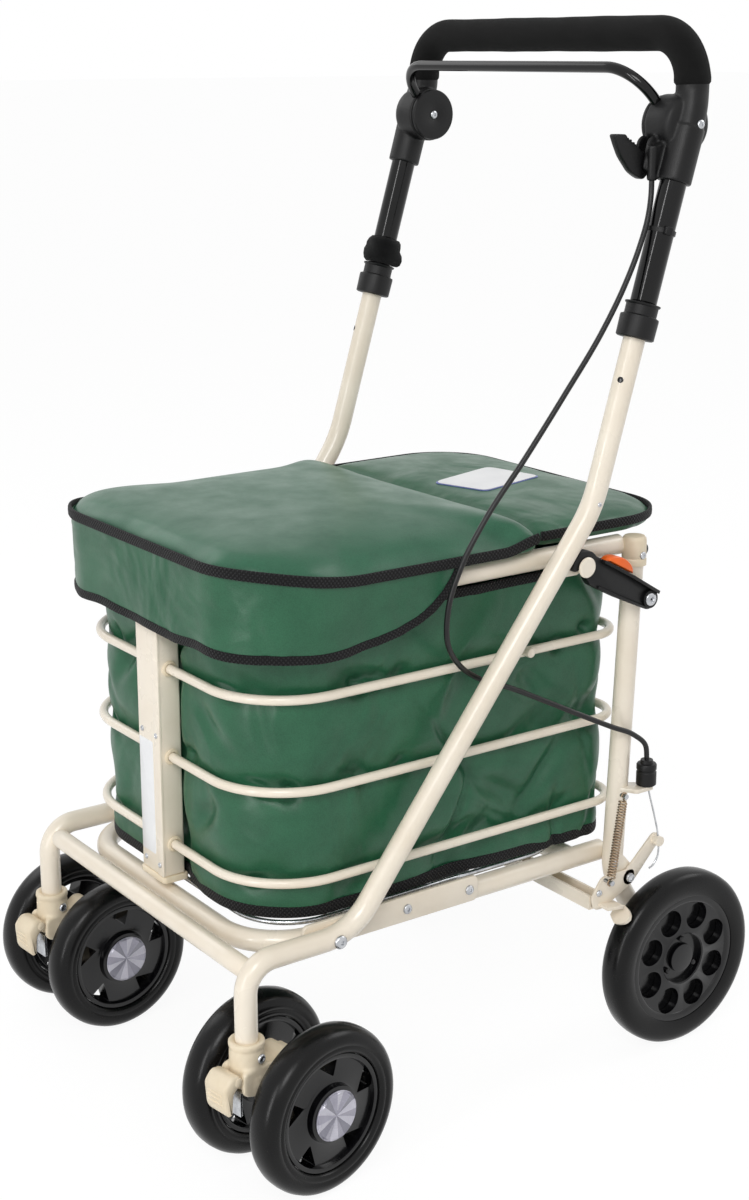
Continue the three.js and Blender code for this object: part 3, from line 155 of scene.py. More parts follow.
for lamp_name, lamp_place, lamp_width, lamp_height, lamp_watts in (
    ("lamp_front", (1.9, -1.7, 2.3), 1.1, 1.1, 32),
    ("lamp_strip", (0.93, -3.06, 1.05), 0.32, 2.0, 24),
    ("lamp_side", (-2.4, -0.8, 2.2), 1.6, 1.6, 11),
    ("lamp_rear", (0.8, 2.4, 2.4), 1.4, 1.4, 18),
):
    lamp_data = bpy.data.lights.new(lamp_name, "AREA")
    lamp_data.shape, lamp_data.energy = "RECTANGLE", lamp_watts
    lamp_data.size, lamp_data.size_y = lamp_width, lamp_height
    lamp = bpy.data.objects.new(lamp_name, lamp_data)
    bpy.context.scene.collection.objects.link(lamp)
    spot = np.array(lamp_place)
    back = (spot - lamp_target) / np.linalg.norm(spot - lamp_target)
    level_way = np.cross([0, 0, 1], back) / np.linalg.norm(np.cross([0, 0, 1], back))
    aim = np.eye(4)
    aim[:3] = np.column_stack([level_way, np.cross(back, level_way), back, spot])
    lamp.matrix_world = Matrix(aim.tolist())
bpy.context.scene.view_settings.view_transform = "Standard"

# Brake cable
# A black sheathed cable from the barrel under the left bracket to the adjuster on the rear leg.
# It hangs in front of the handle tube in one loop and passes behind it.


def new_group(name, inputs, outputs):
    """An empty group of nodes with named sockets, inputs as (label, socket kind, value). Gives the tree,
    what its inputs put out and its output node."""
    tree = bpy.data.node_groups.new(name, "ShaderNodeTree")
    for label, kind, value in inputs:
        socket = tree.interface.new_socket(label, in_out="INPUT", socket_type=kind)
        if value is not None:
            socket.default_value = value
    for label, kind in outputs:
        tree.interface.new_socket(label, in_out="OUTPUT", socket_type=kind)
    return tree, tree.nodes.new("NodeGroupInput").outputs, tree.nodes.new("NodeGroupOutput")


# Patches of two near colours and a fine grain, which every hard finish of the rollator has
patch_group, patch_in, patch_out = new_group(
    "patches_and_grain",
    [("Vector", "NodeSocketVector", None), ("Colour", "NodeSocketColor", (0.5, 0.5, 0.5, 1)),
     ("Worn colour", "NodeSocketColor", (0.4, 0.4, 0.4, 1)), ("Patches", "NodeSocketFloat", 12.0),
     ("Grain", "NodeSocketFloat", 900.0), ("Roughness", "NodeSocketFloat", 0.4),
     ("Roughness spread", "NodeSocketFloat", 0.1)],
    [("Colour", "NodeSocketColor"), ("Roughness", "NodeSocketFloat"), ("Height", "NodeSocketFloat")])
patches = add_node(patch_group, "ShaderNodeTexNoise", {
    "Vector": patch_in["Vector"], "Scale": patch_in["Patches"], "Detail": 5.0, "Roughness": 0.55})
patch_share = add_node(patch_group, "ShaderNodeMapRange", {
    "Value": patches.outputs["Fac"], "From Min": 0.35, "From Max": 0.7}).outputs[0]
patch_mix = add_node(patch_group, "ShaderNodeMix", {
    "Factor": patch_share, 6: patch_in["Colour"], 7: patch_in["Worn colour"]}, data_type="RGBA")
grain = add_node(patch_group, "ShaderNodeTexNoise", {
    "Vector": patch_in["Vector"], "Scale": patch_in["Grain"], "Detail": 2.0})
rough_step = add_node(patch_group, "ShaderNodeMath", {
    0: patch_share, 1: patch_in["Roughness spread"], 2: patch_in["Roughness"]}, operation="MULTIPLY_ADD")
fill(patch_group, patch_out, {"Colour": patch_mix.outputs[2], "Roughness": rough_step.outputs[0],
                              "Height": grain.outputs["Fac"]})


def hard_finish(name, colour, worn, patch_scale, grain_scale, rough, spread, bump, **fixed):
    """A paint, plastic, rubber or metal: the patch group drives its colour, roughness and bump, and the
    fixed values are the same all over it."""
    material, tree, shader = new_finish(name)
    looks = add_node(tree, "ShaderNodeGroup", node_tree=patch_group, values={
        "Vector": add_node(tree, "ShaderNodeTexCoord").outputs["Object"], "Colour": shade(*colour),
        "Worn colour": shade(*worn), "Patches": patch_scale, "Grain": grain_scale, "Roughness": rough,
        "Roughness spread": spread}).outputs
    raised = add_node(tree, "ShaderNodeBump", {"Height": looks["Height"], "Strength": 1.0, "Distance": bump})
    fill(tree, shader, {"Base Color": looks["Colour"], "Roughness": looks["Roughness"],
                        "Normal": raised.outputs[0]})
    fill(tree, shader, {label.replace("_", " "): value for label, value in fixed.items()})
    return material


cable_sheath = hard_finish("cable_sheath", (20, 20, 21), (30, 30, 31), 60, 1500, 0.28, 0.12, 0.00004,
                           Specular_IOR_Level=0.35)


def smooth_line(points, count):
    """A smooth curve through given points: cubic between each pair, with the slope at a point
    taken from its two neighbours by their distances."""
    points = np.asarray(points, float)
    gaps = np.linalg.norm(np.diff(points, axis=0), axis=1)
    at = np.concatenate([[0], np.cumsum(gaps)])
    runs = np.diff(points, axis=0) / gaps[:, None]
    weight = gaps[1:, None] / (gaps[:-1] + gaps[1:])[:, None]
    slope = np.vstack([runs[:1], runs[:-1] * weight + runs[1:] * (1 - weight), runs[-1:]])
    wanted = np.linspace(0, at[-1], count)
    i = np.clip(np.searchsorted(at, wanted, side="right") - 1, 0, len(gaps) - 1)
    t = ((wanted - at[i]) / gaps[i])[:, None]
    gap = gaps[i][:, None]
    return ((2 * t**3 - 3 * t**2 + 1) * points[i] + (t**3 - 2 * t**2 + t) * gap * slope[i]
            + (3 * t**2 - 2 * t**3) * points[i + 1] + (t**3 - t**2) * gap * slope[i + 1])


def pipe(path, radius, reference, sides=28):
    """Rings round a centreline: point + radius * (cos a * n + sin a * b), where n is the reference
    direction squared to the line and b = line x n."""
    path = np.asarray(path, float)
    runs = np.diff(path, axis=0)
    runs /= np.linalg.norm(runs, axis=1)[:, None]
    ahead = np.vstack([runs[:1], runs[:-1] + runs[1:], runs[-1:]])
    ahead /= np.linalg.norm(ahead, axis=1)[:, None]
    reference = np.broadcast_to(np.asarray(reference, float), path.shape)
    across = reference - (reference * ahead).sum(1)[:, None] * ahead
    across /= np.linalg.norm(across, axis=1)[:, None]
    other = np.cross(ahead, across)
    angle = np.linspace(0, 2 * np.pi, sides, endpoint=False)
    size = np.broadcast_to(np.asarray(radius, float), len(path))[:, None, None]
    return path[:, None] + size * (np.cos(angle)[None, :, None] * across[:, None]
                                   + np.sin(angle)[None, :, None] * other[:, None])


def shell(grid, capped=True, looped=False):
    """A skin over rows of points: a four-sided face between neighbours, one face over each open end
    when capped, or the last row joined to the first when looped. The rows are turned round if the
    volume inside comes out negative. Gives points, faces, and u and v in metres for each corner."""
    grid = np.asarray(grid, float)
    capped = capped and not looped
    for attempt in range(2):
        rows, cols = grid.shape[:2]
        row, col = np.meshgrid(np.arange(rows if looped else rows - 1), np.arange(cols), indexing="ij")
        row, col = row.ravel(), col.ravel()
        next_row, next_col = (row + 1) % rows, (col + 1) % cols
        quads = np.stack([row * cols + col, row * cols + next_col, next_row * cols + next_col,
                          next_row * cols + col], 1)
        flat = grid.reshape(-1, 3) - grid.reshape(-1, 3).mean(0)
        a, b, c, d = (flat[quads[:, k]] for k in range(4))
        volume = (np.einsum("ij,ij->i", a, np.cross(b, c)) + np.einsum("ij,ij->i", a, np.cross(c, d))).sum()
        if capped:
            for ring, turn in ((flat[:cols], -1), (flat[-cols:], 1)):
                round_ring = np.cross(ring, np.roll(ring, -1, 0))
                volume += turn * np.einsum("j,ij->i", ring.mean(0), round_ring).sum()
        if volume >= 0 or attempt:
            break
        grid = grid[::-1]
    steps_down = np.linalg.norm(np.diff(grid, axis=0, append=grid[:1]), axis=2).mean(1)
    steps_round = np.linalg.norm(np.diff(grid, axis=1, append=grid[:, :1]), axis=2).mean(0)
    down = np.concatenate([[0], np.cumsum(steps_down)]) * 0.001
    around = np.concatenate([[0], np.cumsum(steps_round)]) * 0.001
    corners = np.stack([down[[row, row, row + 1, row + 1]], around[[col, col + 1, col + 1, col]]], -1)
    faces = quads.tolist()
    uv = [corners.transpose(1, 0, 2).reshape(-1, 2)]
    if capped:
        faces.append(list(range(cols))[::-1])
        faces.append(list(range((rows - 1) * cols, rows * cols)))
        middle = grid[[0, -1]].mean(1)
        uv.append((grid[0, ::-1] - middle[0])[:, :2] * 0.001)
        uv.append((grid[-1] - middle[1])[:, :2] * 0.001)
    return grid.reshape(-1, 3), faces, np.concatenate(uv)


def piece(name, parts, material, body, nodes=(), sharp=38):
    """One named piece, in place, made of grids of points or of finished shells. It rides on its body,
    takes the finish it is given and stands for the nodes, which it hides. Edges bent by more than sharp
    degrees stay crisp."""
    points, faces, uv, start = [], [], [], 0
    for part in parts:
        own_points, own_faces, own_uv = part if isinstance(part, tuple) else shell(part)
        points.append(place(own_points))
        faces.extend([[k + start for k in face] for face in own_faces])
        uv.append(own_uv)
        start += len(own_points)
    mesh = bpy.data.meshes.new(name)
    mesh.from_pydata(np.concatenate(points).tolist(), [], faces)
    mesh.uv_layers.new(name="UVMap").data.foreach_set("uv", np.concatenate(uv).astype(np.float32).ravel())
    mesh.shade_smooth()
    mesh.set_sharp_from_angle(angle=math.radians(sharp))
    mesh.materials.append(material)
    made = bpy.data.objects.new(name, mesh)
    bpy.context.scene.collection.objects.link(made)
    if body:
        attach(made, body)
    if nodes:
        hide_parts(*nodes)
    return made


cable_diameter = 5.0
cable_route = [
    (190.5, 427, 836.7), (191.5, 426, 826), (196, 418.5, 804), (199, 407, 780), (200.5, 389, 747),
    (201, 366, 712), (200, 322, 656), (198.5, 282, 607), (196.5, 242, 560), (194.5, 218, 522),
    (192, 206, 487), (188, 208, 452), (182, 225, 428), (177.5, 253, 408), (177.5, 290, 392),
    (181.5, 326, 374), (188, 361, 356), (193.5, 397, 338), (196, 422, 326), (197, 437, 312),
    (197, 439, 298.8),
]
cable_line = smooth_line(cable_route, 260)
brake_cable = piece("brake_cable", [pipe(cable_line, cable_diameter / 2, (1, 0.2, 0), 16)], cable_sheath,
                    None, ("brake_cable_upper", "brake_cable_lower"))
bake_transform(brake_cable)

# Casters
# Each front foot is a cream moulded housing that swivels round the handle tube's stem. It carries a
# steel axle with two solid-tyred wheels and, in front, a hinged pedal with three ridges.
sides = (1, -1)
side_names = {1: "left", -1: "right"}
along_x, along_y, along_z = (1, 0, 0), (0, 1, 0), (0, 0, 1)
stem_x, caster_trail, caster_axle_z, caster_wheel_x = 184, 45.5, 75, 45
caster_turn = {1: math.radians(8.2), -1: math.radians(4.1)}
wheel_cols = 96
cream_moulding = hard_finish("cream_moulding", (238, 224, 198), (228, 212, 184), 45, 700, 0.42, 0.1, 0.00005)
bright_steel = hard_finish("bright_steel", (205, 207, 210), (168, 170, 174), 160, 2600, 0.2, 0.2, 0.00002,
                           Metallic=1.0)
tyre_rubber = hard_finish("tyre_rubber", (8, 8, 9), (15, 15, 15), 22, 520, 0.22, 0.12, 0.00003,
                          Specular_IOR_Level=0.22)
wheel_moulding = hard_finish("wheel_moulding", (6, 6, 8), (12, 12, 14), 30, 900, 0.13, 0.1, 0.00004,
                             Specular_IOR_Level=0.42)
# Three copies of the lens's lavender grey, lit, half lit and shaded: painted light and shade for its facets,
# which the wedges take in turn.
lens_painted_facet_shades = [hard_finish(name, tone, [c - 10 for c in tone], 90, 2600, 0.12, 0.08, 0.00015,
                             Coat_Weight=0.5, Coat_Roughness=0.04, Metallic=0.3)
                 for name, tone in (("lens_painted_highlight", (196, 194, 206)), ("lens_painted_half_shade", (162, 160, 174)),
                                    ("lens_painted_shade", (134, 133, 146)))]


def turned(profile, base, axis, sides=40):
    """A lathe shape: each (distance, radius) of the profile is a ring at base + distance * axis."""
    profile = np.asarray(profile, float)
    axis = np.asarray(axis, float) / np.linalg.norm(axis)
    across = np.cross(axis, np.eye(3)[np.argmin(np.abs(axis))])
    across /= np.linalg.norm(across)
    other = np.cross(axis, across)
    angle = np.linspace(0, 2 * np.pi, sides, endpoint=False)
    ring = np.cos(angle)[:, None] * across + np.sin(angle)[:, None] * other
    return np.asarray(base, float) + profile[:, :1, None] * axis + profile[:, 1:, None] * ring[None]


def both_faces(half):
    """A wheel's whole profile: the half on one face, then its mirror image back from the middle."""
    return half + [(-x, radius) for x, radius in half[::-1] if x]


def settle(made, *modifiers):
    """Puts modifiers, each (kind, its fields), on a piece and applies them to its mesh."""
    for kind, fields in modifiers:
        change = made.modifiers.new(kind.lower(), kind)
        for key, value in fields.items():
            setattr(change, key, value)
    bpy.context.view_layer.update()
    solved = made.evaluated_get(bpy.context.evaluated_depsgraph_get())
    mesh_before = made.data
    made.data = bpy.data.meshes.new_from_object(solved)
    made.modifiers.clear()
    bpy.data.meshes.remove(mesh_before)


def crisp(made, degrees):
    """Smooth shading, with edges bent by more than so many degrees kept sharp."""
    made.data.shade_smooth()
    made.data.set_sharp_from_angle(angle=math.radians(degrees))


def melted(made, voxel, passes):
    """Runs overlapping shells together as a moulding has them: one skin of voxel-sized faces, then
    every point eased towards its neighbours a few times. Lengths in millimetres."""
    settle(made, ("REMESH", {"mode": "VOXEL", "voxel_size": voxel / 1000}),
           ("SMOOTH", {"factor": 0.5, "iterations": passes}))
    crisp(made, 50)


def carved(made, parts):
    """Cuts parts out of a piece."""
    tool = piece("carving_tool", parts, made.data.materials[0], None)
    settle(made, ("BOOLEAN", {"operation": "DIFFERENCE", "object": tool, "solver": "EXACT"}))
    bpy.data.objects.remove(tool)
    crisp(made, 35)


def soft_outline(corners, radius, steps=6):
    """A closed outline whose corners are rounded: between the two tangent points, each point is the
    quadratic curve through them that the corner pulls."""
    corners = np.asarray(corners, float)
    to_before, to_after = np.roll(corners, 1, 0) - corners, np.roll(corners, -1, 0) - corners
    long_before = np.linalg.norm(to_before, axis=1)[:, None]
    long_after = np.linalg.norm(to_after, axis=1)[:, None]
    reach = np.minimum(radius, 0.48 * np.minimum(long_before, long_after))
    first = corners + to_before / long_before * reach
    last = corners + to_after / long_after * reach
    t = np.linspace(0, 1, steps)[None, :, None]
    curve = (1 - t) ** 2 * first[:, None] + 2 * t * (1 - t) * corners[:, None] + t**2 * last[:, None]
    return curve.reshape(-1, 2)


def box_outline(low, high, radius, steps=6):
    """A rectangle with rounded corners between two opposite corners."""
    return soft_outline([low, (high[0], low[1]), high, (low[0], high[1])], radius, steps)


def inset(outline, distance):
    """An outline moved inwards by a distance along the bisector at each point."""
    outline = np.asarray(outline, float)
    area = (outline[:, 0] * np.roll(outline[:, 1], -1) - np.roll(outline[:, 0], -1) * outline[:, 1]).sum()
    edge = np.roll(outline, -1, 0) - outline
    edge /= np.maximum(np.linalg.norm(edge, axis=1), 1e-9)[:, None]
    normal = np.stack([-edge[:, 1], edge[:, 0]], 1) * np.sign(area)
    both = normal + np.roll(normal, 1, 0)
    both /= np.maximum(np.linalg.norm(both, axis=1), 1e-9)[:, None]
    return outline + both * distance


def slab(outline, low, high, bevel, axis=0):
    """A flat part: its outline from low to high along an axis, drawn in by the bevel at both faces.
    The outline is (y, z) along X, (x, z) along Y and (x, y) along Z."""
    levels = ((low, bevel), (low + bevel * 0.35, bevel * 0.35), (low + bevel, 0), (high - bevel, 0),
              (high - bevel * 0.35, bevel * 0.35), (high, bevel))
    return np.stack([np.insert(inset(outline, draw), axis, at, axis=1) for at, draw in levels])


def pan_head(base, axis, radius, height):
    """A screw's head: a low dome with a sunk middle."""
    return turned([(-height * 0.4, radius * 0.7), (0, radius), (0.35 * height, radius),
                   (0.75 * height, radius * 0.86), (height, radius * 0.55), (height, radius * 0.36),
                   (height * 0.55, radius * 0.26), (height * 0.5, 0.05)], base, axis, 24)


def at_caster(side, *grids):
    """Grids drawn round an upright stem at X 0 and Y 0, turned about it by the caster's angle and moved
    to the stem of their side."""
    c, s = math.cos(caster_turn[side]), math.sin(caster_turn[side])
    return [np.stack([g[..., 0] * c - g[..., 1] * s + side * stem_x, g[..., 0] * s + g[..., 1] * c, g[..., 2]],
                     -1) for g in grids]


def wheel_slots(hub_x):
    """Five slots through a wheel, each a prism whose corners are (share of the rim's radius, angle)."""
    rim_radius, slot_half = 53, 20
    corner_shares = ((0.6, -0.2), (0.9, -0.25), (0.93, 0.0), (0.9, 0.22))
    prisms = []
    for k in range(5):
        turn = math.radians(93) + 2 * math.pi * k / 5
        corners = [(rim_radius * out * math.cos(turn + a), rim_radius * out * math.sin(turn + a))
                   for out, a in corner_shares]
        prisms.append(slab(soft_outline(corners, 1.6, 4) + (caster_trail, caster_axle_z), hub_x - slot_half,
                           hub_x + slot_half, 0.01))
    return prisms


def faceted_lens(centre, way):
    """A round lens on a hub: rings from its back round its rim to its middle, raised by a zigzag of
    eight wedges and by fine ribs, the height falling to nothing at the rim."""
    turn_angle = np.linspace(0, 2 * math.pi, wheel_cols, endpoint=False)
    zigzag = np.abs((np.arange(wheel_cols) / 12) % 1 - 0.5) * 2
    rows = [(0.3, 15.4), (21.6, 15.4), (22.4, 16.6), (22.6, 17.6), (21.8, 18.2), (21.2, 17.8)]
    rows += [(radius, 17.4 + 1.7 * zigzag * (radius / 20.6) ** 0.5 + 0.1 * math.sin(radius * 2.6))
             for radius in np.linspace(20.6, 0.3, 24)]
    return np.array([np.stack([centre[0] + way * (height + 0 * zigzag), centre[1] + radius * np.cos(turn_angle),
                               centre[2] + radius * np.sin(turn_angle)], 1) for radius, height in rows])


tyre_profile = both_faces([
    (-12.5, 53.6), (-14.6, 54.4), (-15.8, 56.5), (-16.2, 59.0), (-15.5, 59.9), (-15.5, 60.7), (-16.4, 61.6),
    (-16.3, 64.5), (-15.3, 67.8), (-13.2, 70.8), (-10, 73.1), (-5.5, 74.6), (0, 75)])
hub_profile = [(-12.5, 5.8)] + both_faces([
    (-16, 5.8), (-16.4, 22), (-15.4, 25.5), (-9.6, 26.5), (-8.6, 28.5), (-8.4, 47.6), (-12, 49), (-12.6, 50.2),
    (-12.4, 52.7)])
sock = turned([(116, 15.2), (131, 15.2), (132.5, 14.6), (133.5, 14.4), (135, 15.8), (139, 15.8), (140, 15),
               (140, 11), (137, 10.7)], (0, 0, 0), along_z)
flank_shares = [(-0.36, 1), (0.35, 1.02), (0.8, 0.86), (1.14, 0.3), (1.26, -0.2), (1.2, -0.8), (0.92, -1),
                (0.62, -0.5), (0.2, -0.12), (-0.36, 0.16)]
flank = soft_outline([(a * caster_trail, 92 + (b * 26 if b > 0 else b * 27)) for a, b in flank_shares], 7)
bridge = soft_outline([(-12, 104), (48, 104), (50, 116), (-12, 118)], 4)
collar_ring = turned([(100, 15), (101, 16.6), (109, 16.6), (111, 14.6), (118, 15.6)], (0, 0, 0), along_z)
hump = turned([(-15.5, 6), (-14, 10), (14, 10), (15.5, 6)], (0, 34, 112), along_x, 32)
axle_middle = (0, caster_trail, caster_axle_z)
axle = turned([(-59, 4.2), (-57.4, 5), (57.4, 5), (59, 4.2)], axle_middle, along_x, 24)
axle_sleeve = turned([(-9.5, 7), (9.5, 7)], axle_middle, along_x, 24)
strap = [(-16, 98.6), (44, 98.6), (55, 88), (55, 72), (52.5, 72), (52.5, 87), (43, 96.2), (-13.5, 96.2),
         (-13.5, 76), (-16, 76)]
pin_y, pin_z = -17.1 - 4, 112
tongue = soft_outline([(pin_y + y, pin_z + z) for y, z in (
    (4, 4.5), (-7, 7), (-15.5, -2), (-13.5, -24), (-9, -30), (-5.5, -28), (-4, -9), (4, -4))], 4.5)
ridges = [turned([(-9.5, 0.4), (-9, 1.1), (9, 1.1), (9.5, 0.4)],
                 (0, pin_y - 14.6 + 0.45 * k, pin_z - 9 - k * 4.6), along_x, 10) for k in range(3)]
pedal_pin = turned([(-15, 3.2), (-14.4, 4), (14.4, 4), (15, 3.2)], (0, pin_y, pin_z), along_x, 24)
for side in sides:
    hand = side_names[side]
    body = "caster_" + hand
    housing = piece("caster_housing_skin_" + hand, at_caster(
        side, sock, slab(flank, -15.6, -10.5, 1.2), slab(flank, 10.5, 15.6, 1.2), slab(bridge, -13, 13, 1),
        collar_ring, hump), cream_moulding, body, ("caster_housing_" + hand,))
    melted(housing, 1.3, 5)
    piece("caster_screws_" + hand, at_caster(
        side, *[pan_head((15.4 * way, 3, 126), (way, 0.1, 0), 4.2, 2.4) for way in sides]), bright_steel, body)
    piece("caster_fork_" + hand, at_caster(side, axle, slab(strap, -9.8, 9.8, 0.4), axle_sleeve), bright_steel,
          body, ("caster_axle_" + hand,))
    piece("caster_pedal_skin_" + hand, at_caster(side, slab(tongue, -14.5, 14.5, 3.2), pedal_pin, *ridges),
          cream_moulding, "pedal_" + hand, ("caster_pedal_" + hand,))
    for way, which in ((side, "outer"), (-side, "inner")):
        wheel = f"wheel_{hand}_{which}"
        centre = (way * caster_wheel_x, caster_trail, caster_axle_z)
        tyre_rings, hub_rings, lens_rings = at_caster(
            side, turned(tyre_profile, centre, along_x, wheel_cols),
            turned(hub_profile, centre, along_x, wheel_cols), faceted_lens(centre, way))
        piece(f"caster_tyre_skin_{hand}_{which}", [shell(tyre_rings, looped=True)], tyre_rubber, wheel,
              (f"caster_tyre_{hand}_{which}",), 50)
        hub = piece(f"caster_hub_skin_{hand}_{which}", [shell(hub_rings, looped=True)], wheel_moulding, wheel,
                    (f"caster_hub_{hand}_{which}",))
        carved(hub, at_caster(side, *wheel_slots(way * caster_wheel_x)))
        lens = piece(f"caster_lens_{hand}_{which}", [lens_rings], lens_painted_facet_shades[0], wheel,
                     (), 12)
        for finish in lens_painted_facet_shades[1:]:
            lens.data.materials.append(finish)
        # Each wedge of six columns takes one of the three painted shades, so that the facets look lit or
        # shaded.
        wedge = np.arange(len(lens.data.polygons)) % wheel_cols // 6
        lens.data.polygons.foreach_set("material_index", np.array([0, 2, 1, 0, 1, 2, 0, 1])[wedge % 8])

# Handle tubes
# On each side one cream painted steel tube runs back from the caster stem, bends up and leans to
# the rear. It carries the stud that the hook holds, and a chromed bolt pins it to the base plate.
cream_paint = hard_finish("cream_paint", (244, 234, 217), (236, 224, 205), 18, 320, 0.26, 0.12, 0.00005,
                          Coat_Weight=0.35, Coat_Roughness=0.12)
tube_radius = 10
handle_x, run_y, run_z, kink_z, stud_z = 200, 108, 207, 554, 500
hinge_y, hinge_z, lean = 458.5, 883, math.radians(16.8)
kink_y = hinge_y - (hinge_z - kink_z) * math.tan(lean)
lean_way = np.array([0, math.sin(lean), math.cos(lean)])
rise = (kink_z - run_z) / (kink_y - run_y)
web_foot_y = kink_y - (kink_z - stud_z) / rise
stud_y = web_foot_y + 32.9


def up_handle(below, side):
    """The point on the leaning line of a handle tube at a distance below the hinge."""
    return np.array([side * handle_x, hinge_y, hinge_z]) - below * lean_way


def bent(corners, steps=14):
    """A centreline through corners (x, y, z, radius): straight between the bends, and at each bend an
    arc of its radius that touches both straights."""
    corners = [tuple(c) + (0,) * (4 - len(c)) for c in corners]
    points = [np.array(corners[0][:3], float)[None]]
    for before, here, after in zip(corners[:-2], corners[1:-1], corners[2:]):
        spot = np.array(here[:3], float)
        back = (before[:3] - spot) / np.linalg.norm(before[:3] - spot)
        on = (after[:3] - spot) / np.linalg.norm(after[:3] - spot)
        half = math.acos(np.clip(back @ on, -1, 1)) / 2
        centre = spot + (back + on) / np.linalg.norm(back + on) * here[3] / math.sin(half)
        first, last = (spot + way * here[3] / math.tan(half) - centre for way in (back, on))
        sweep = math.pi - 2 * half
        t = np.linspace(0, 1, steps + 1)[:, None]
        points.append(centre + (np.sin((1 - t) * sweep) * first + np.sin(t * sweep) * last) / math.sin(sweep))
    points.append(np.array(corners[-1][:3], float)[None])
    return np.concatenate(points)


def turned_across(profile, side, y, z, cols):
    """A lathe shape along X whose (distance, radius) count outwards from the middle plane, on a side."""
    return turned([(side * x, radius) for x, radius in profile], (0, y, z), along_x, cols)


def slab_across(outline, side, near, far, bevel):
    """A flat part square to X, from near to far outwards from the middle plane, on a side."""
    return slab(outline, *sorted((side * near, side * far)), bevel)


web = soft_outline([(web_foot_y - 2, stud_z - 9), (stud_y, stud_z - 9), (stud_y + 8, stud_z),
                    (stud_y, stud_z + 9), (web_foot_y + 13, stud_z + 9)], 3)
latch_hole_shades = []
for side in sides:
    hand = side_names[side]
    route = bent([(side * stem_x, 0, 124), (side * stem_x, 0, run_z, 27), (side * stem_x, run_y, run_z, 58),
                  (side * handle_x, kink_y, kink_z, 120), tuple(up_handle(154, side))])
    stud = turned_across([(186, 6.2), (201.3, 6.2), (201.3, 8.7), (202.2, 9.5), (203.2, 9.4), (204.2, 8.2),
                          (204.3, 0.05)], side, stud_y, stud_z, 36)
    piece("handle_tube_skin_" + hand, [pipe(route, tube_radius, along_x, 32),
                                       slab_across(web, side, 184.7, 191.7, 1), stud],
          cream_paint, "frame", ("handle_tube_" + hand,))
    # A black disc in each latch hole, painted shade for the hole's dark inside.
    latch_hole_shades.append(turned([(tube_radius - 2, 2.7), (tube_radius + 0.25, 2.7), (tube_radius + 0.35, 2.4),
                               (tube_radius + 0.3, 0.05)], up_handle(229, side),
                              (side * 0.55, -math.cos(lean), math.sin(lean)), 20))

# Small fixings of the frame
# Bright bolts with domed heads, and the round latch holes below the collars as flat black discs: painted shade
# for the dark inside of each hole.
piece("latch_hole_painted_shade", latch_hole_shades, wheel_moulding, "frame")
frame_bolts = ((194, 90, run_z, 6.2, 3.2), (209.3, 359.3, 558, 2.2, 1.4),
               (173.6, 246, run_z, 4.6, 2.4), (173.6, 176, run_z, 4.6, 2.4))
piece("frame_bolt_heads", [pan_head((side * x, y, z), (side, 0, 0), radius, height)
                           for x, y, z, radius, height in frame_bolts for side in sides],
      bright_steel, "frame")

# Front crossbar
# A straight cream tube between the two stem bends. Its ends turn into the bends, where they are welded.
bar_line = bent([(177, 9, 195.5), (160, 3, 201, 40), (-160, 3, 201, 40), (-177, 9, 195.5)], 8)
piece("front_crossbar_skin", [pipe(bar_line, 9, along_z, 32)], cream_paint, "frame",
      ("front_crossbar",))

# Base frame
# One cream tube bent round the front and both sides, a stretcher between its rear ends, and a flat
# plate welded along each side that the handle tube is bolted to.
base_x, base_z, base_front_y, base_rear_y, stretcher_y = 159.7, 200, 28, 416, 380


def rail_round(half, front, rear, z, steps):
    """The centreline of a tube bent round the front and both sides, open at the rear."""
    return bent([(half, rear, z), (half, front, z, 60), (-half, front, z, 60), (-half, rear, z)], steps)


side_plate = box_outline((66, run_z - 12), (256, run_z + 12), 6)
base_rail = rail_round(base_x, base_front_y, base_rear_y, base_z, 20)
stretcher = [(-base_x, tube_radius), (base_x, tube_radius)]
piece("base_frame_skin", [pipe(base_rail, tube_radius, along_z, 32),
                          turned(stretcher, (0, stretcher_y, base_z), along_x, 32),
                          *[slab_across(side_plate, side, 169.4, 173.4, 0.6) for side in sides]],
      cream_paint, "frame", ("base_frame",))
piece("base_frame_plugs", [turned([(-1.2, 9.4), (0.6, 9.4), (2.2, 8.2), (2.6, 5)],
                                  (side * base_x, base_rear_y, base_z), along_y, 28) for side in sides],
      wheel_moulding, "frame")

# Front post and its foot
# A folded cream channel with a seam down its face and two rivets at each end of a bare white label.
# It stands on a moulded foot that clips over the base tube, and a grommet holds each hoop.
post_low, post_high, post_face_y = 223, 495, 16
hoop_levels, hoop_start_y = (253.5, 337, 419.5), 27
label_paper = hard_finish("label_paper", (240, 241, 242), (232, 233, 235), 30, 900, 0.3, 0.1, 0.00002,
                          Coat_Weight=0.5, Coat_Roughness=0.08)
post_plan = box_outline((-20, post_face_y), (20, 38), 2.4, 5)
post_seam = soft_outline([(8.6, 16.4), (10, 15.3), (20.2, 15.3), (20.2, 18)], 0.6, 3)
piece("front_post_skin", [slab(post_plan, post_low, post_high, 0.8, 2),
                          slab(post_seam, post_low, post_high, 0.3, 2)],
      cream_paint, "frame", ("front_post",))
grommet = [(19, 5), (21.5, 7.4), (22.6, 7), (23, 5.4), (22.4, 4.6), (18, 4.5)]
piece("hoop_grommets", [turned_across(grommet, side, hoop_start_y, z, 28)
                        for z in hoop_levels for side in sides], cream_moulding, "frame")
foot_plan = box_outline((-21.5, 15.5), (21.5, 40.5), 4)
foot_band = box_outline((-22.1, 14.9), (22.1, 41), 4.4)
foot = piece("post_foot_skin", [slab(foot_plan, 189, 222.7, 1.8, 2), slab(foot_band, 216.5, 222.6, 1, 2),
                                slab(foot_band, 189.2, 194, 1, 2)],
             cream_moulding, "frame", ("post_foot",))
carved(foot, [turned([(-30, 10.3), (30, 10.3)], (0, base_front_y, base_z), along_x)])
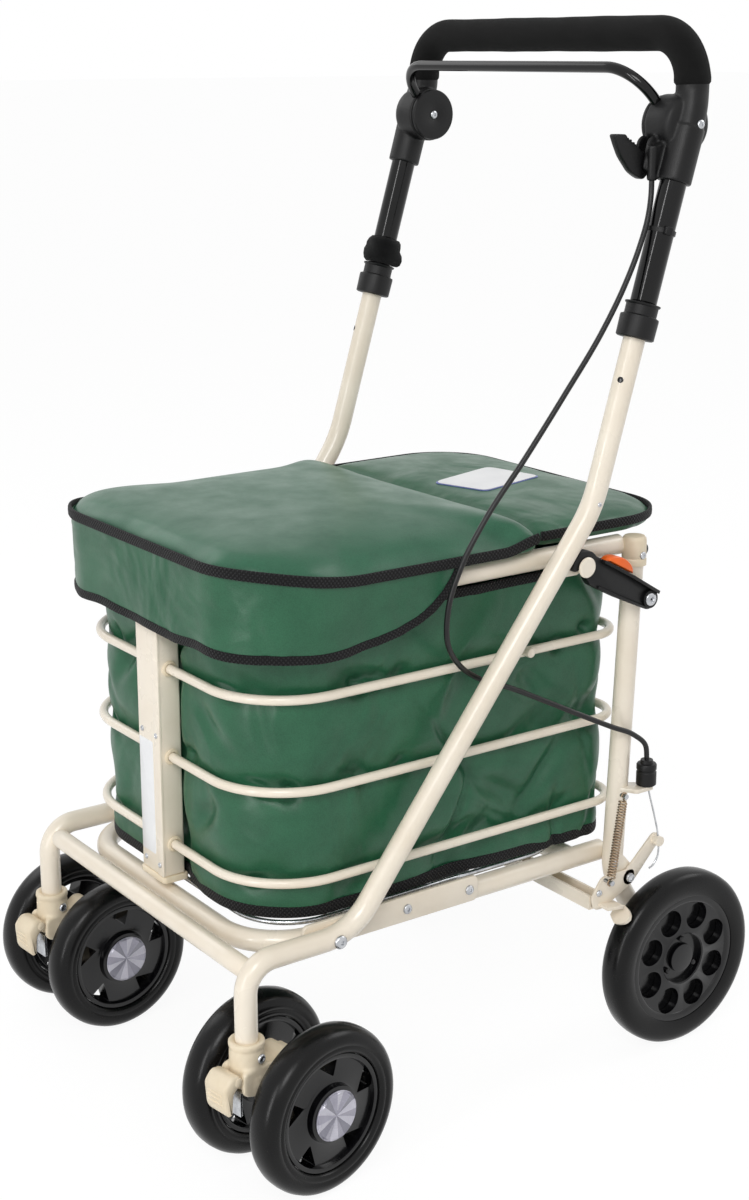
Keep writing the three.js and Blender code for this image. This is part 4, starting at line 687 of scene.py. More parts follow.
piece("post_rivets", [pan_head((x, 15.3 if x > 0 else post_face_y, z), (0, -1, 0), 2.6, 1.2)
                      for x in (-12, 14) for z in (233, 357)], bright_steel, "frame")
piece("post_label", [slab(box_outline((-17.5, 241), (6.5, 349), 2, 5), 15.6, 16.2, 0.1, 1)], label_paper,
      "frame")

# Hoops
# Three cream rods, each bent round the bag and held in the post's grommets at both ends.
hoop_half, hoop_rear_y, hoop_end_x = 165.4, 434, 17
for name, z in zip(("lower", "middle", "upper"), hoop_levels):
    ring = bent([(hoop_end_x, hoop_start_y, z), (hoop_half, hoop_start_y, z, 75),
                 (hoop_half, hoop_rear_y, z, 33), (-hoop_half, hoop_rear_y, z, 33),
                 (-hoop_half, hoop_start_y, z, 75), (-hoop_end_x, hoop_start_y, z)], 18)
    piece("hoop_skin_" + name, [pipe(ring, 4.3, along_z, 20)], cream_paint, "frame",
          ("hoop_" + name,))

# Wire floor
# A loop of bright wire that lies on the base tubes, with wires across it and along it, under the bag.
floor_x, floor_low_y, floor_high_y, wire_z, wire_radius = 154.7, 43.2, 385, 212.7, 2.4
loop = bent([(0, floor_low_y, wire_z), (floor_x, floor_low_y, wire_z, 55),
             (floor_x, floor_high_y, wire_z, 55), (-floor_x, floor_high_y, wire_z, 55),
             (-floor_x, floor_low_y, wire_z, 55), (0, floor_low_y, wire_z)], 12)
wires = [pipe(loop, wire_radius, along_z, 12)]
wires += [turned([(-floor_x, wire_radius), (floor_x, wire_radius)], (0, y, wire_z + wire_radius), along_x, 12)
          for y in np.linspace(floor_low_y, floor_high_y, 7)[1:-1]]
wires += [turned([(floor_low_y, wire_radius), (floor_high_y, wire_radius)], (x, 0, wire_z + wire_radius / 2),
                 along_y, 12) for x in (-floor_x / 3, floor_x / 3)]
piece("wire_floor_skin", wires, bright_steel, "frame", ("wire_floor",))

# Stops of the folding tubes
# On each side a short cream peg is welded to the upper hoop, behind the handle tube.
stop = [(164, 4.4), (182, 4.6), (185, 4.2), (186.4, 2.6), (186.6, 0.05)]
piece("hoop_stops", [turned_across(stop, side, 305, 424.5, 24) for side in sides], cream_paint, "frame")

# Rear legs and caps
# On each side a cream tube from the seat frame down to the wheel's axle, with a moulded cap over its
# top. It has the bracket that the brake turns on, and on the left the shelf of the cable.
leg_x, axle_y, axle_z, leg_top_y, leg_bend_y, leg_bend_z = 180, 480, 88, 430, 414, 186
pivot_y, pivot_z = 424, 181
hook_pin_y, hook_pin_z = 431, 458
peg_y, peg_z, shelf_low, shelf_high = 407, 270, 268.7, 272.7
leg_y = leg_bend_y + (pivot_z - leg_bend_z) * 16 / 325.5
ear = soft_outline([(leg_y - 8, pivot_z + 24), (leg_y - 8, pivot_z - 4), (pivot_y + 8, pivot_z - 8),
                    (pivot_y + 8, pivot_z + 8), (leg_y + 4, pivot_z + 24)], 4)
shelf = soft_outline([(182, 410), (203.5, 422), (203.5, 443.5), (192, 444), (182, 430)], 3)
leg_cap = [(486.5, 10.8), (486.7, 11.7), (492, 11.7), (493, 11.3), (493.6, 10.9), (494.4, 11.4), (509, 11.4),
           (512, 11), (514, 9.4), (514.5, 7), (514.5, 0.05)]
chrome = []
for side in sides:
    hand = side_names[side]
    leg = bent([(side * leg_x, leg_top_y, 511.5), (side * leg_x, leg_bend_y, leg_bend_z, 40),
                (side * 168, axle_y, axle_z)])
    parts = [pipe(leg, tube_radius, along_x, 32),
             turned(sorted([(side * 158, 10), (side * 178, 10)]), (0, axle_y, axle_z), along_x, 32),
             slab_across(ear, side, 186.6, 190.6, 0.5)]
    if side > 0:
        parts.append(slab(shelf, shelf_low, shelf_high, 0.5, 2))
    piece("rear_leg_skin_" + hand, parts, cream_paint, "frame", ("rear_leg_" + hand,))
    chrome += [turned_across([(168, 6), (203, 6), (203.5, 5)], side, axle_y, axle_z, 24),
               turned_across([(186, 4), (197.5, 4)], side, pivot_y, pivot_z, 20),
               pan_head((side * 194.2, pivot_y, pivot_z), (side, 0, 0), 4.6, 3.6),
               turned_across([(184, 5), (201.5, 5)], side, hook_pin_y, hook_pin_z, 20),
               pan_head((side * 202.4, hook_pin_y, hook_pin_z), (side, 0, 0), 6.6, 3),
               pan_head((side * (leg_x + 11.2), leg_top_y + 0.6, 497), (side, 0, 0), 3.6, 1.6)]
    if side > 0:
        chrome += [turned([(198, 2), (203.6, 2), (204, 2.6), (205.5, 2.6), (205.7, 2)], (0, peg_y, peg_z),
                          along_x, 16), pan_head((190, 408, 196), along_x, 4.4, 2.2)]
    piece("leg_cap_skin_" + hand, [turned(leg_cap, (side * leg_x, leg_top_y, 0), along_z)], cream_moulding,
          "frame", ("leg_cap_" + hand,))
piece("leg_bumpers", [turned_across([(172, 4), (172.6, 6), (181, 6), (182, 4.6)], side, 441, 499, 24)
                      for side in sides], wheel_moulding, "frame")
piece("leg_pins_and_screws", chrome, bright_steel, "frame")

# Seat frame
# A cream tube under the lid, bent round the front and both sides, that ends in the leg caps.
piece("seat_frame_skin", [pipe(rail_round(168.8, 37, 420, 505, 18), 9.5, along_z, 32)], cream_paint, "frame",
      ("seat_frame",))

# Leatherette and tape
# The bag, the lid and the flap are green leatherette: a fine pebbled grain over soft dents. Their
# edges are bound with woven black tape.
grain_group, grain_in, grain_out = new_group(
    "pebbled_leatherette",
    [("Vector", "NodeSocketVector", None), ("Colour", "NodeSocketColor", (0.1, 0.3, 0.2, 1)),
     ("Deep colour", "NodeSocketColor", (0.05, 0.2, 0.1, 1)), ("Pebbles", "NodeSocketFloat", 900.0),
     ("Dents", "NodeSocketFloat", 9.0)],
    [("Colour", "NodeSocketColor"), ("Roughness", "NodeSocketFloat"), ("Pebble height", "NodeSocketFloat"),
     ("Dent height", "NodeSocketFloat")])
pebbles = add_node(grain_group, "ShaderNodeTexVoronoi", {
    "Vector": grain_in["Vector"], "Scale": grain_in["Pebbles"]}, feature="F1").outputs["Distance"]
dents = add_node(grain_group, "ShaderNodeTexNoise", {
    "Vector": grain_in["Vector"], "Scale": grain_in["Dents"], "Detail": 3.0, "Roughness": 0.45,
    "Distortion": 0.6})
tones = add_node(grain_group, "ShaderNodeTexNoise", {
    "Vector": grain_in["Vector"], "Scale": 26.0, "Detail": 6.0, "Roughness": 0.6}).outputs["Fac"]
tone_share = add_node(grain_group, "ShaderNodeMapRange", {
    "Value": tones, "From Min": 0.38, "From Max": 0.68, "To Min": 0.0, "To Max": 0.55})
seam_share = add_node(grain_group, "ShaderNodeMapRange", {
    "Value": pebbles, "From Min": 0.3, "From Max": 0.75, "To Min": 0.0, "To Max": 0.45})
darker = add_node(grain_group, "ShaderNodeMath", {0: tone_share.outputs[0], 1: seam_share.outputs[0]},
                  operation="ADD")
tone_mix = add_node(grain_group, "ShaderNodeMix", {
    "Factor": darker.outputs[0], 6: grain_in["Colour"], 7: grain_in["Deep colour"]}, data_type="RGBA")
shine = add_node(grain_group, "ShaderNodeMapRange", {
    "Value": tones, "From Min": 0.3, "From Max": 0.7, "To Min": 0.29, "To Max": 0.44})
lifted = add_node(grain_group, "ShaderNodeMath", {0: 1.0, 1: pebbles}, operation="SUBTRACT")
fill(grain_group, grain_out, {"Colour": tone_mix.outputs[2], "Roughness": shine.outputs[0],
                              "Pebble height": lifted.outputs[0], "Dent height": dents.outputs["Fac"]})


def leatherette(name, colour, deep, dent_scale, dent_depth):
    """Leatherette of two greens, with the pebbles as a fine bump over a soft one."""
    material, tree, shader = new_finish(name)
    looks = add_node(tree, "ShaderNodeGroup", node_tree=grain_group, values={
        "Vector": add_node(tree, "ShaderNodeTexCoord").outputs["Object"], "Colour": shade(*colour),
        "Deep colour": shade(*deep), "Dents": dent_scale}).outputs
    soft = add_node(tree, "ShaderNodeBump", {
        "Height": looks["Dent height"], "Strength": 1.0, "Distance": dent_depth})
    fine = add_node(tree, "ShaderNodeBump", {
        "Height": looks["Pebble height"], "Strength": 0.6, "Distance": 0.00012, "Normal": soft.outputs[0]})
    fill(tree, shader, {"Base Color": looks["Colour"], "Roughness": looks["Roughness"],
                        "Normal": fine.outputs[0], "Specular IOR Level": 0.42})
    return material


bag_leatherette = leatherette("bag_leatherette", (40, 98, 68), (27, 78, 53), 9.0, 0.012)
lid_leatherette = leatherette("lid_leatherette", (44, 102, 74), (32, 84, 60), 5.0, 0.002)

tape_group, tape_in, tape_out = new_group(
    "woven_tape", [("Vector", "NodeSocketVector", None)],
    [("Colour", "NodeSocketColor"), ("Height", "NodeSocketFloat")])
weave_scale, weave_slant = 115.0, 0.75
waves = []
for slant in (weave_slant, -weave_slant):
    turned_uv = add_node(tape_group, "ShaderNodeMapping", {
        "Vector": tape_in["Vector"], "Rotation": (0, 0, slant), "Scale": (weave_scale,) * 3})
    waves.append(add_node(tape_group, "ShaderNodeTexWave", {
        "Vector": turned_uv.outputs[0], "Scale": 1.0, "Distortion": 0.4, "Detail": 1.0}).outputs["Fac"])
weave = add_node(tape_group, "ShaderNodeMath", {0: waves[0], 1: waves[1]}, operation="MULTIPLY").outputs[0]
tape_mix = add_node(tape_group, "ShaderNodeMix", {"Factor": weave, 6: shade(7, 7, 8), 7: shade(46, 46, 48)},
                    data_type="RGBA")
fill(tape_group, tape_out, {"Colour": tape_mix.outputs[2], "Height": weave})
tape_cloth, tape_tree, tape_shader = new_finish("tape_cloth")
tape_looks = add_node(tape_tree, "ShaderNodeGroup", node_tree=tape_group, values={
    "Vector": add_node(tape_tree, "ShaderNodeTexCoord").outputs["UV"]}).outputs
tape_bump = add_node(tape_tree, "ShaderNodeBump", {
    "Height": tape_looks["Height"], "Strength": 1.0, "Distance": 0.0012})
fill(tape_tree, tape_shader, {"Base Color": tape_looks["Colour"], "Normal": tape_bump.outputs[0],
                              "Roughness": 0.7, "Sheen Weight": 0.05, "Specular IOR Level": 0.2})

# Bag
# A leatherette bag that stands on the wire floor inside the hoops, open at the top under the lid. It
# swells between the hoops and is creased where they press on it, and tape binds its foot and its rim.
luck = np.random.default_rng(7)
bag_half, bag_front, bag_rear = 159.4, 33, 426
bag_low, bag_high, bag_wall = 217.8, 489, 2.6


def even_loop(half, front, rear, front_radius, rear_radius, count):
    """A plan outline with two front and two rear corners, resampled at even steps from the middle of
    its rear: points, outward directions, distances along it and its length."""
    line = bent([(0, rear, 0), (half, rear, 0, rear_radius), (half, front, 0, front_radius),
                 (-half, front, 0, front_radius), (-half, rear, 0, rear_radius), (0, rear, 0)], 24)
    run = np.concatenate([[0], np.cumsum(np.linalg.norm(np.diff(line, axis=0), axis=1))])
    along = np.linspace(0, run[-1], count, endpoint=False)
    points = np.stack([np.interp(along, run, line[:, k]) for k in (0, 1)], 1)
    ahead = np.roll(points, -1, 0) - np.roll(points, 1, 0)
    ahead /= np.linalg.norm(ahead, axis=1, keepdims=True)
    out = np.stack([ahead[:, 1], -ahead[:, 0]], 1)
    if ((points - points.mean(0)) * out).sum() < 0:
        out = -out
    return points, out, along, run[-1]


def dented(along, height, length, marks):
    """The sum of soft marks on a wall at (along, height): each (place, height, long, wide, tilt, depth)
    is a bell of those half sizes, tilted, and it wraps round the loop's length."""
    total = np.zeros(np.broadcast_shapes(along.shape, height.shape))
    for place_along, place_up, long_way, wide, tilt, depth in marks:
        across = (along - place_along + length / 2) % length - length / 2
        up = height - place_up
        major = across * math.cos(tilt) + up * math.sin(tilt)
        minor = up * math.cos(tilt) - across * math.sin(tilt)
        total = total + depth * np.exp(-(major / long_way) ** 2 - (minor / wide) ** 2)
    return total


def at_height(flat, z):
    """Points (x, y) with a height, one for all or one for each."""
    return np.column_stack([flat, np.broadcast_to(np.asarray(z, float), len(flat))])


plan, plan_out, plan_run, plan_length = even_loop(bag_half, bag_front, bag_rear, 75, 32, 560)
creases = [(luck.uniform(0, plan_length), luck.uniform(bag_low + 10, bag_high - 10), luck.uniform(16, 55),
            luck.uniform(4, 9), luck.choice([-1, 1]) * luck.uniform(0.5, 1.6), luck.uniform(-5.5, 2.4))
           for _ in range(52)]
hollows = [(luck.uniform(0, plan_length), luck.uniform(bag_low, bag_high), luck.uniform(16, 42),
            luck.uniform(9, 20), luck.uniform(-1.4, 1.4), luck.uniform(-7.0, 2.0)) for _ in range(84)]
hoop_pinch = [(luck.uniform(0, plan_length), z + luck.uniform(-9, 9), luck.uniform(7, 15), luck.uniform(5, 9),
               luck.uniform(-0.9, 0.9), luck.uniform(-4.4, -1.6)) for z in hoop_levels for _ in range(16)]
wall_z = np.linspace(bag_low + 3, bag_high, 132)[:, None]
swell = 3.4 * np.ones_like(wall_z)
for z in hoop_levels:
    swell -= 3.2 * np.exp(-((wall_z - z) / 17) ** 2)
swell -= 2.2 * np.exp(-((wall_z - bag_high) / 16) ** 2) + 2.6 * np.exp(-((wall_z - bag_low) / 12) ** 2)
marks = 1.7 * dented(plan_run[None], wall_z, plan_length, creases + hollows + hoop_pinch)
hoop_gap = np.abs(wall_z - np.array(hoop_levels)[None]).min(1, keepdims=True)
swollen = np.minimum(swell + marks, 3.4 - 3.0 * np.exp(-(hoop_gap / 9) ** 2))
behind_post = -10.5 * np.exp(-(np.abs(plan[:, 0]) / 29) ** 6) * (plan[:, 1] < 60)
swollen = swollen + behind_post[None]


def ring_at(offset, z):
    """The bag's plan outline moved outwards by the offset, at a height."""
    return at_height(plan + plan_out * np.broadcast_to(offset, plan_run.shape)[:, None], z)


foot_rings = [ring_at(swollen[0] - d, bag_low + lift) for d, lift in ((26, 0), (4, 0), (1.2, 0.9), (0.2, 2.2))]
wall_rings = [ring_at(offset, z[0]) for offset, z in zip(swollen, wall_z)]
rim_rings = [ring_at(swollen[-1] - bag_wall * d, bag_high + bag_wall * 0.4 * u)
             for d, u in ((0.15, 0.7), (0.5, 1), (0.85, 0.7))]
inner_rings = [ring_at(offset - bag_wall, z[0]) for offset, z in zip(swollen[::-4], wall_z[::-4])]
inner_rings += [ring_at(swollen[0] - bag_wall - 3, bag_low + 3), ring_at(swollen[0] - 24, bag_low + 2.6)]
piece("bag_shell", [foot_rings + wall_rings + rim_rings + inner_rings], bag_leatherette, "frame",
      ("bag",), 60)


def band(middle, out, half_height, half_depth, closed=True):
    """A tape laid along a line: a flat oval carried along it, its wide way along up and its thin way
    outwards. It closes on itself unless it is told not to."""
    middle, out = np.asarray(middle, float), np.asarray(out, float)
    angle = np.linspace(0, 2 * math.pi, 12, endpoint=False)
    c, s = np.cos(angle), np.sin(angle)
    wide = np.sign(c) * np.abs(c) ** 0.6
    thin = np.sign(s) * np.abs(s) ** 0.8
    along = np.roll(middle, -1, 0) - np.roll(middle, 1, 0)
    if not closed:
        along[0], along[-1] = middle[1] - middle[0], middle[-1] - middle[-2]
    along /= np.linalg.norm(along, axis=1, keepdims=True)
    out = out - (out * along).sum(1, keepdims=True) * along
    out /= np.linalg.norm(out, axis=1, keepdims=True)
    up = np.cross(along, out)
    rings = middle[:, None] + half_height * wide[None, :, None] * up[:, None] \
        + half_depth * thin[None, :, None] * out[:, None]
    return shell(rings, looped=closed)


def open_run(kept):
    """The places of the kept points of a loop, in order from the first one after the gap."""
    return (np.arange(kept.sum()) + np.flatnonzero(kept & ~np.roll(kept, 1))[0]) % len(kept)


plan_out3 = at_height(plan_out, 0)
piece("bag_bindings", [band(ring_at(swollen[0] + 0.3, bag_low + 6)[::2], plan_out3[::2], 5.6, 1.1),
                       band(ring_at(swollen[-1] + 0.2, bag_high - 3)[::2], plan_out3[::2], 4.6, 1.1)],
      tape_cloth, "frame")

# Lid and its skirt
# A padded seat lid, crowned and rounded at its front corners, hinged at the fold behind it. A skirt
# of leatherette hangs from its edge over the bag's front and sides, cut away to the rear, and tape
# covers the seam and the skirt's hem.
lid_half, lid_front, lid_rear, lid_crown = 184.2, 8.6, 317.4, 551


def points_of(mesh):
    """A mesh's points as rows."""
    points = np.empty(len(mesh.vertices) * 3)
    mesh.vertices.foreach_get("co", points)
    return points.reshape(-1, 3)


def puffed(made, most, held_below):
    """Blows a closed form up as its filling does. Points below a height stay where they rest, and no
    point moves further than most (both in metres)."""
    voxel, pressure, last_frame = 0.0055, 1.6, 18
    settle(made, ("REMESH", {"mode": "VOXEL", "voxel_size": voxel}))
    mesh = made.data
    before = points_of(mesh)
    holding = made.vertex_groups.new(name="held")
    holding.add(np.flatnonzero(before[:, 2] < held_below).tolist(), 1.0, "REPLACE")
    cloth = made.modifiers.new("cloth", "CLOTH")
    cloth.settings.use_pressure = True
    cloth.settings.uniform_pressure_force = pressure
    cloth.settings.effector_weights.gravity = 0
    cloth.settings.vertex_group_mass = "held"
    cloth.settings.shrink_min = -0.01
    scene = bpy.context.scene
    for frame_number in range(1, last_frame + 1):
        scene.frame_set(frame_number)
    solved = made.evaluated_get(bpy.context.evaluated_depsgraph_get())
    move = points_of(solved.data) - before
    far = np.linalg.norm(move, axis=1, keepdims=True)
    move *= np.minimum(1, most / np.maximum(far, 1e-9))
    made.modifiers.clear()
    made.vertex_groups.clear()
    scene.frame_set(1)
    mesh.vertices.foreach_set("co", (before + move).ravel())
    mesh.update()
    settle(made, ("SMOOTH", {"iterations": 8, "factor": 0.5}), ("SUBSURF", {"levels": 1, "render_levels": 1}))
    made.data.shade_smooth()


def crowned(outline, low, rim, crown):
    """A cushion on a flat bed: rings run from the middle of the bed out to the outline, up its side and
    in over the top, whose height is rim + (crown - rim) * (1 - r ^ 4) ^ 0.6 at share r of the way out."""
    centre = (outline.max(0) + outline.min(0)) / 2
    arms = outline - centre
    rim = np.broadcast_to(rim, len(outline))
    levels = [(share, low) for share in (0.04, 0.3, 0.6, 0.85, 0.97)] + [(0.995, low + 0.8)]
    levels += [(1, low + 1 + (rim - low - 1) * lift) for lift in (0.3, 0.7)]
    levels += [(share, rim * share ** 3 + rim.mean() * (1 - share ** 3)
                + (crown - rim.mean()) * np.maximum(1 - share ** 4.0, 0) ** 0.6)
               for share in 1 - np.linspace(0, 1, 30)[:-1] ** 2.1 * 0.99]
    return [at_height(centre + arms * share, z) for share, z in levels]


lid_plan, lid_out, *_ = even_loop(lid_half, lid_front, lid_rear, 78, 10, 420)


def seam_height(y):
    """The height of the lid's seam: level along the sides, up at the front, and up to the fold behind."""
    front = np.clip((125 - y) / 115, 0, 1)
    rear = np.clip((y - 272) / 44, 0, 1)
    return 521.5 + 13 * front ** 2 * (3 - 2 * front) + 8 * rear ** 2 * (3 - 2 * rear)


lid_pad = piece("lid_pad", [crowned(lid_plan, 514.9, seam_height(lid_plan[:, 1]), lid_crown)], lid_leatherette,
                "lid", ("seat_lid",), 60)
puffed(lid_pad, 0.003, 0.5165)

skirt_inset, skirt_rear, skirt_points = 0.4, 226, 760
skirt_line, skirt_out, _, loop_length = even_loop(lid_half - skirt_inset, lid_front + skirt_inset, 400, 78, 10,
                                                  skirt_points)
order = open_run(skirt_line[:, 1] < skirt_rear)
skirt_line, skirt_out = skirt_line[order], skirt_out[order]
skirt_way = np.linspace(0, 1, len(order)) * (len(order) * loop_length / skirt_points)
hem_z = np.interp(skirt_line[:, 1], [0, 60, 110, 140, 165, 184, 197, 208, 217, skirt_rear],
                  [459.5, 458.5, 458.5, 461, 466.5, 474, 482, 492, 503, 517])
hem_z = hem_z + 1.1 * np.sin(skirt_way / 31) + 0.7 * np.sin(skirt_way / 13.7 + 1)
depth_share = np.linspace(0, 1, 26)[:, None]
skirt_top = seam_height(skirt_line[:, 1])
skirt_z = skirt_top[None] + (hem_z - skirt_top)[None] * depth_share
wavy = (0.9 * np.sin(skirt_way / 17 + 0.6) + 1.1 * np.sin(skirt_way / 41 + 2)
        + 0.6 * np.sin(skirt_way / 9.1))[None]
skirt_lean = -1.6 * depth_share ** 1.5 + wavy * depth_share ** 1.3 - 0.6
skirt_marks = [(luck.uniform(0, skirt_way[-1]), luck.uniform(458, 512), luck.uniform(10, 30),
                luck.uniform(3, 7), luck.uniform(-1.5, 1.5), luck.uniform(-1.5, 0.8)) for _ in range(34)]
skirt_dents = dented(skirt_way[None], skirt_z, 1e5, skirt_marks) * (0.2 + 0.8 * depth_share)
skirt_lean = np.minimum(skirt_lean + skirt_dents, 0.9)


def skirt_rows(offset):
    """The skirt's rows of points, moved outwards by an offset as well as by its own waves."""
    flat_rows = skirt_line[None] + skirt_out[None] * (skirt_lean + offset)[..., None]
    return np.concatenate([flat_rows, np.broadcast_to(skirt_z, skirt_lean.shape)[..., None]], 2)


outer, inner = skirt_rows(0), skirt_rows(-1.8)
around = np.concatenate([outer, inner[::-1]], 0).transpose(1, 0, 2)
lid_skirt = piece("lid_skirt", [around], bag_leatherette, "lid", (), 60)
seam_order = open_run(lid_plan[:, 1] < 312)
seam_line = at_height(lid_plan + lid_out * 0.2, seam_height(lid_plan[:, 1]))[seam_order]
piece("lid_tape", [band(seam_line, at_height(lid_out, 0)[seam_order], 4.9, 1.9, False),
                   band(outer[-1] + (0, 0, 2.4), at_height(skirt_out, 0), 4.2, 1.5, False)], tape_cloth, "lid")

# Rear flap
# A flatter padded piece behind the fold, that covers the rear of the bag. It stays on the frame, tape
# binds its edge, and a bare white label with a blue border is stuck on it.
flap_half, flap_front, flap_rear, flap_rim, flap_crown = 174.6, 318.6, 491.4, 527.5, 538.5
flap_plan, flap_out, *_ = even_loop(flap_half, flap_front, flap_rear, 8, 66, 420)
flap_pad = piece("flap_pad", [crowned(flap_plan, 516.5, flap_rim, flap_crown)], bag_leatherette, "frame",
                 ("rear_flap",), 60)
puffed(flap_pad, 0.002, 0.518)
flap_order = open_run(flap_plan[:, 1] > 322)
flap_line = at_height(flap_plan + flap_out * 0.2, flap_rim)[flap_order]
piece("flap_tape", [band(flap_line, at_height(flap_out, 0)[flap_order], 4.4, 1.7, False)], tape_cloth, "frame")


def stuck_on(name, half_width, half_length, high, material, ground):
    """A rounded label laid on a surface: a thin slab of small faces pressed down onto it from above."""
    label_turn, label_x, label_y, thick = math.radians(14), 5, 396, 0.4
    c, s = math.cos(label_turn), math.sin(label_turn)
    border = box_outline((-half_width, -half_length), (half_width, half_length), 9, 8)
    shares = (0.02, 0.25, 0.5, 0.75, 0.98, 1.0)
    rings = []
    for share, lift in [(share, 0.0) for share in shares] + [(share, thick) for share in shares[::-1]]:
        x, y = (border * share).T
        spots = np.column_stack([x * c - y * s + label_x, x * s + y * c + label_y])
        rings.append(at_height(spots, high + lift))
    made = piece(name, [rings], material, "frame", (), 60)
    lifts = points_of(made.data)[:, 2] - high / 1000
    settle(made, ("SHRINKWRAP", {
        "target": ground, "wrap_method": "PROJECT", "use_project_z": True, "use_negative_direction": True,
        "use_positive_direction": False, "offset": 0.0002}))
    spots = points_of(made.data)
    spots[:, 2] += lifts
    made.data.vertices.foreach_set("co", spots.ravel())
    made.data.update()
    return made


label_border = hard_finish("label_border", (98, 108, 176), (110, 120, 186), 40, 900, 0.3, 0.1, 0.00002)
border_piece = stuck_on("flap_label_border", 33, 44, 545, label_border, flap_pad)
stuck_on("flap_label", 31.6, 42.6, 546, label_paper, border_piece)

# Hooks and release levers
# On each side a black moulded arm is bolted to the rear leg. Its front end is an open ring that drops
# over the handle tube's stud, and an orange lever in its top edge lets it go.
black_moulding = hard_finish("black_moulding", (10, 10, 11), (18, 18, 19), 30, 700, 0.4, 0.14, 0.00010,
                             Specular_IOR_Level=0.3)
orange_moulding = hard_finish("orange_moulding", (250, 114, 30), (238, 96, 22), 30, 700, 0.3, 0.1, 0.00004)
hook_ring_y, arm_length = 353, 88.6
arm_drop = math.atan2(stud_z - hook_pin_z, hook_pin_y - hook_ring_y)


def arm_points(flat_points):
    """Points (y, z) along and above the arm, from its ring, as (y, z) of the rollator: turned by the
    arm's slope about the ring's middle."""
    y, z = np.asarray(flat_points, float).T
    c, s = math.cos(arm_drop), math.sin(arm_drop)
    return np.stack([hook_ring_y + y * c + z * s, stud_z - y * s + z * c], 1)


def arc(middle_y, middle_z, radius, start, end, count=18):
    """Points (y, z) of an arc between two angles in degrees."""
    angle = np.radians(np.linspace(start, end, count))
    return [(middle_y + radius * math.cos(a), middle_z + radius * math.sin(a)) for a in angle]


hook_outline = arm_points(
    arc(0, 0, 6.5, -42, 200) + arc(-10.6, -4, 4.4, 0, -140, 6) + arc(0, 0, 15, 200, 62, 16)
    + [(14, 13), (55, 12.6), (arm_length - 4, 10.2)] + arc(arm_length, 0, 10.2, 80, -80, 10)
    + [(arm_length - 6, -10.6), (50, -12.6), (24, -13), (13, -12.6), (7, -9.6)])
flange = arm_points([(15, 10.2), (15, 13), (55, 12.7), (93.6, 10.6), (93.8, 7.6), (54, 9.6)])
rib = arm_points([(22, -12.9), (50, -12.5), (85, -10.6), (85, -8.2), (50, -9.9), (22, -10.4)])
boss = [(200, 8.6), (203.4, 8.6), (204, 7.6), (204, 0.05)]
boss_y, boss_z = arm_points([(arm_length, 0)])[0]
lever_side = arm_points([(37 + 17 * math.cos(a), 13.65 + 8.8 * math.sin(a))
                         for a in np.linspace(math.pi, 0, 25)])
for side in sides:
    hand = side_names[side]
    piece("hook_skin_" + hand, [slab_across(hook_outline, side, 192, 201, 0.9),
                                slab_across(flange, side, 200.5, 206, 0.5),
                                slab_across(rib, side, 200.5, 203.4, 0.5),
                                turned_across(boss, side, boss_y, boss_z, 28)],
          black_moulding, "hook_" + hand, ("lock_arm_" + hand,), 40)
    piece("release_skin_" + hand, [slab_across(lever_side, side, 192.2, 204.6, 1.6)], orange_moulding,
          "release_" + hand, ("lock_release_" + hand,), 40)

# Telescopic handle
# On each side a gloss black tube slides over the cream one. A moulded collar closes its lower end. A
# strap with a loose end lies above the far collar, and a cable tie holds the cable on the near side.
black_paint = hard_finish("black_paint", (5, 5, 6), (9, 9, 10), 18, 400, 0.09, 0.06, 0.00003,
                          Specular_IOR_Level=0.28, Coat_Weight=0.08, Coat_Roughness=0.05)
fuzzy_strap = hard_finish("fuzzy_strap", (7, 7, 8), (20, 20, 21), 120, 2400, 0.9, 0.05, 0.0009,
                          Specular_IOR_Level=0.1, Sheen_Weight=0.12)
slider_radius, strap_cols = 12.1, 64
upper_tube = [(-180, 10.9), (-180, 11.6), (-179.4, 12), (-26, 12)]
collar = [(-190.6, 11.2), (-190.6, 15.6), (-189.6, 17.2), (-172.6, 17.5), (-170.9, 17.2), (-170.4, 15.6),
          (-169.6, 14.6), (-161.4, 14.6), (-160.6, 15.8), (-159.4, 16.2), (-158.9, 15.4), (-158.9, 11.9)]
lean_square = np.cross(along_x, lean_way)
for side in sides:
    hand = side_names[side]
    hinge_point = up_handle(0, side)
    piece("upper_tube_skin_" + hand, [turned(upper_tube, hinge_point, lean_way)], black_paint, "handle_slider",
          ("upper_tube_" + hand,))
    lug = [up_handle(below, side) - lean_square * 16.4 for below in (186, 174)]
    piece("collar_skin_" + hand, [turned(collar, hinge_point, lean_way, 44), pipe(lug, 2.6, along_x, 12)],
          black_moulding, "handle_slider", ("height_collar_" + hand,), 40)
strap_profile = np.array([(-157, slider_radius), (-157.6, 14.5), (-155.5, 16.9), (-151, 18.1), (-146, 18.4),
                          (-142, 17.4), (-138, 18), (-134, 17.2), (-131.4, 15.2), (-131, slider_radius)])
strap_up, strap_reach = strap_profile[:, :1], strap_profile[:, 1:]
strap_middle = up_handle(0, -1) + strap_up * lean_way
strap_out = (turned(strap_profile, up_handle(0, -1), lean_way, strap_cols) - strap_middle[:, None]) \
    / strap_reach[..., None]
round_strap = np.linspace(0, 2 * np.pi, strap_cols, endpoint=False)[None]
loose_end = np.clip(strap_out @ (0.58, 0.81, 0), 0, 1) ** 20 * np.clip((-140 - strap_up) / 8, 0, 1)
strap_radius = strap_reach * (1 + 0.05 * np.sin(2 * round_strap + 1 + strap_up / 9)
                              + 0.025 * np.sin(5 * round_strap + strap_up / 4)) + 6 * loose_end
strap_radius[[0, -1]] = slider_radius
strap_rings = strap_middle[:, None] + strap_out * strap_radius[..., None]
piece("collar_strap", [shell(strap_rings, looped=True)], fuzzy_strap, "handle_slider")
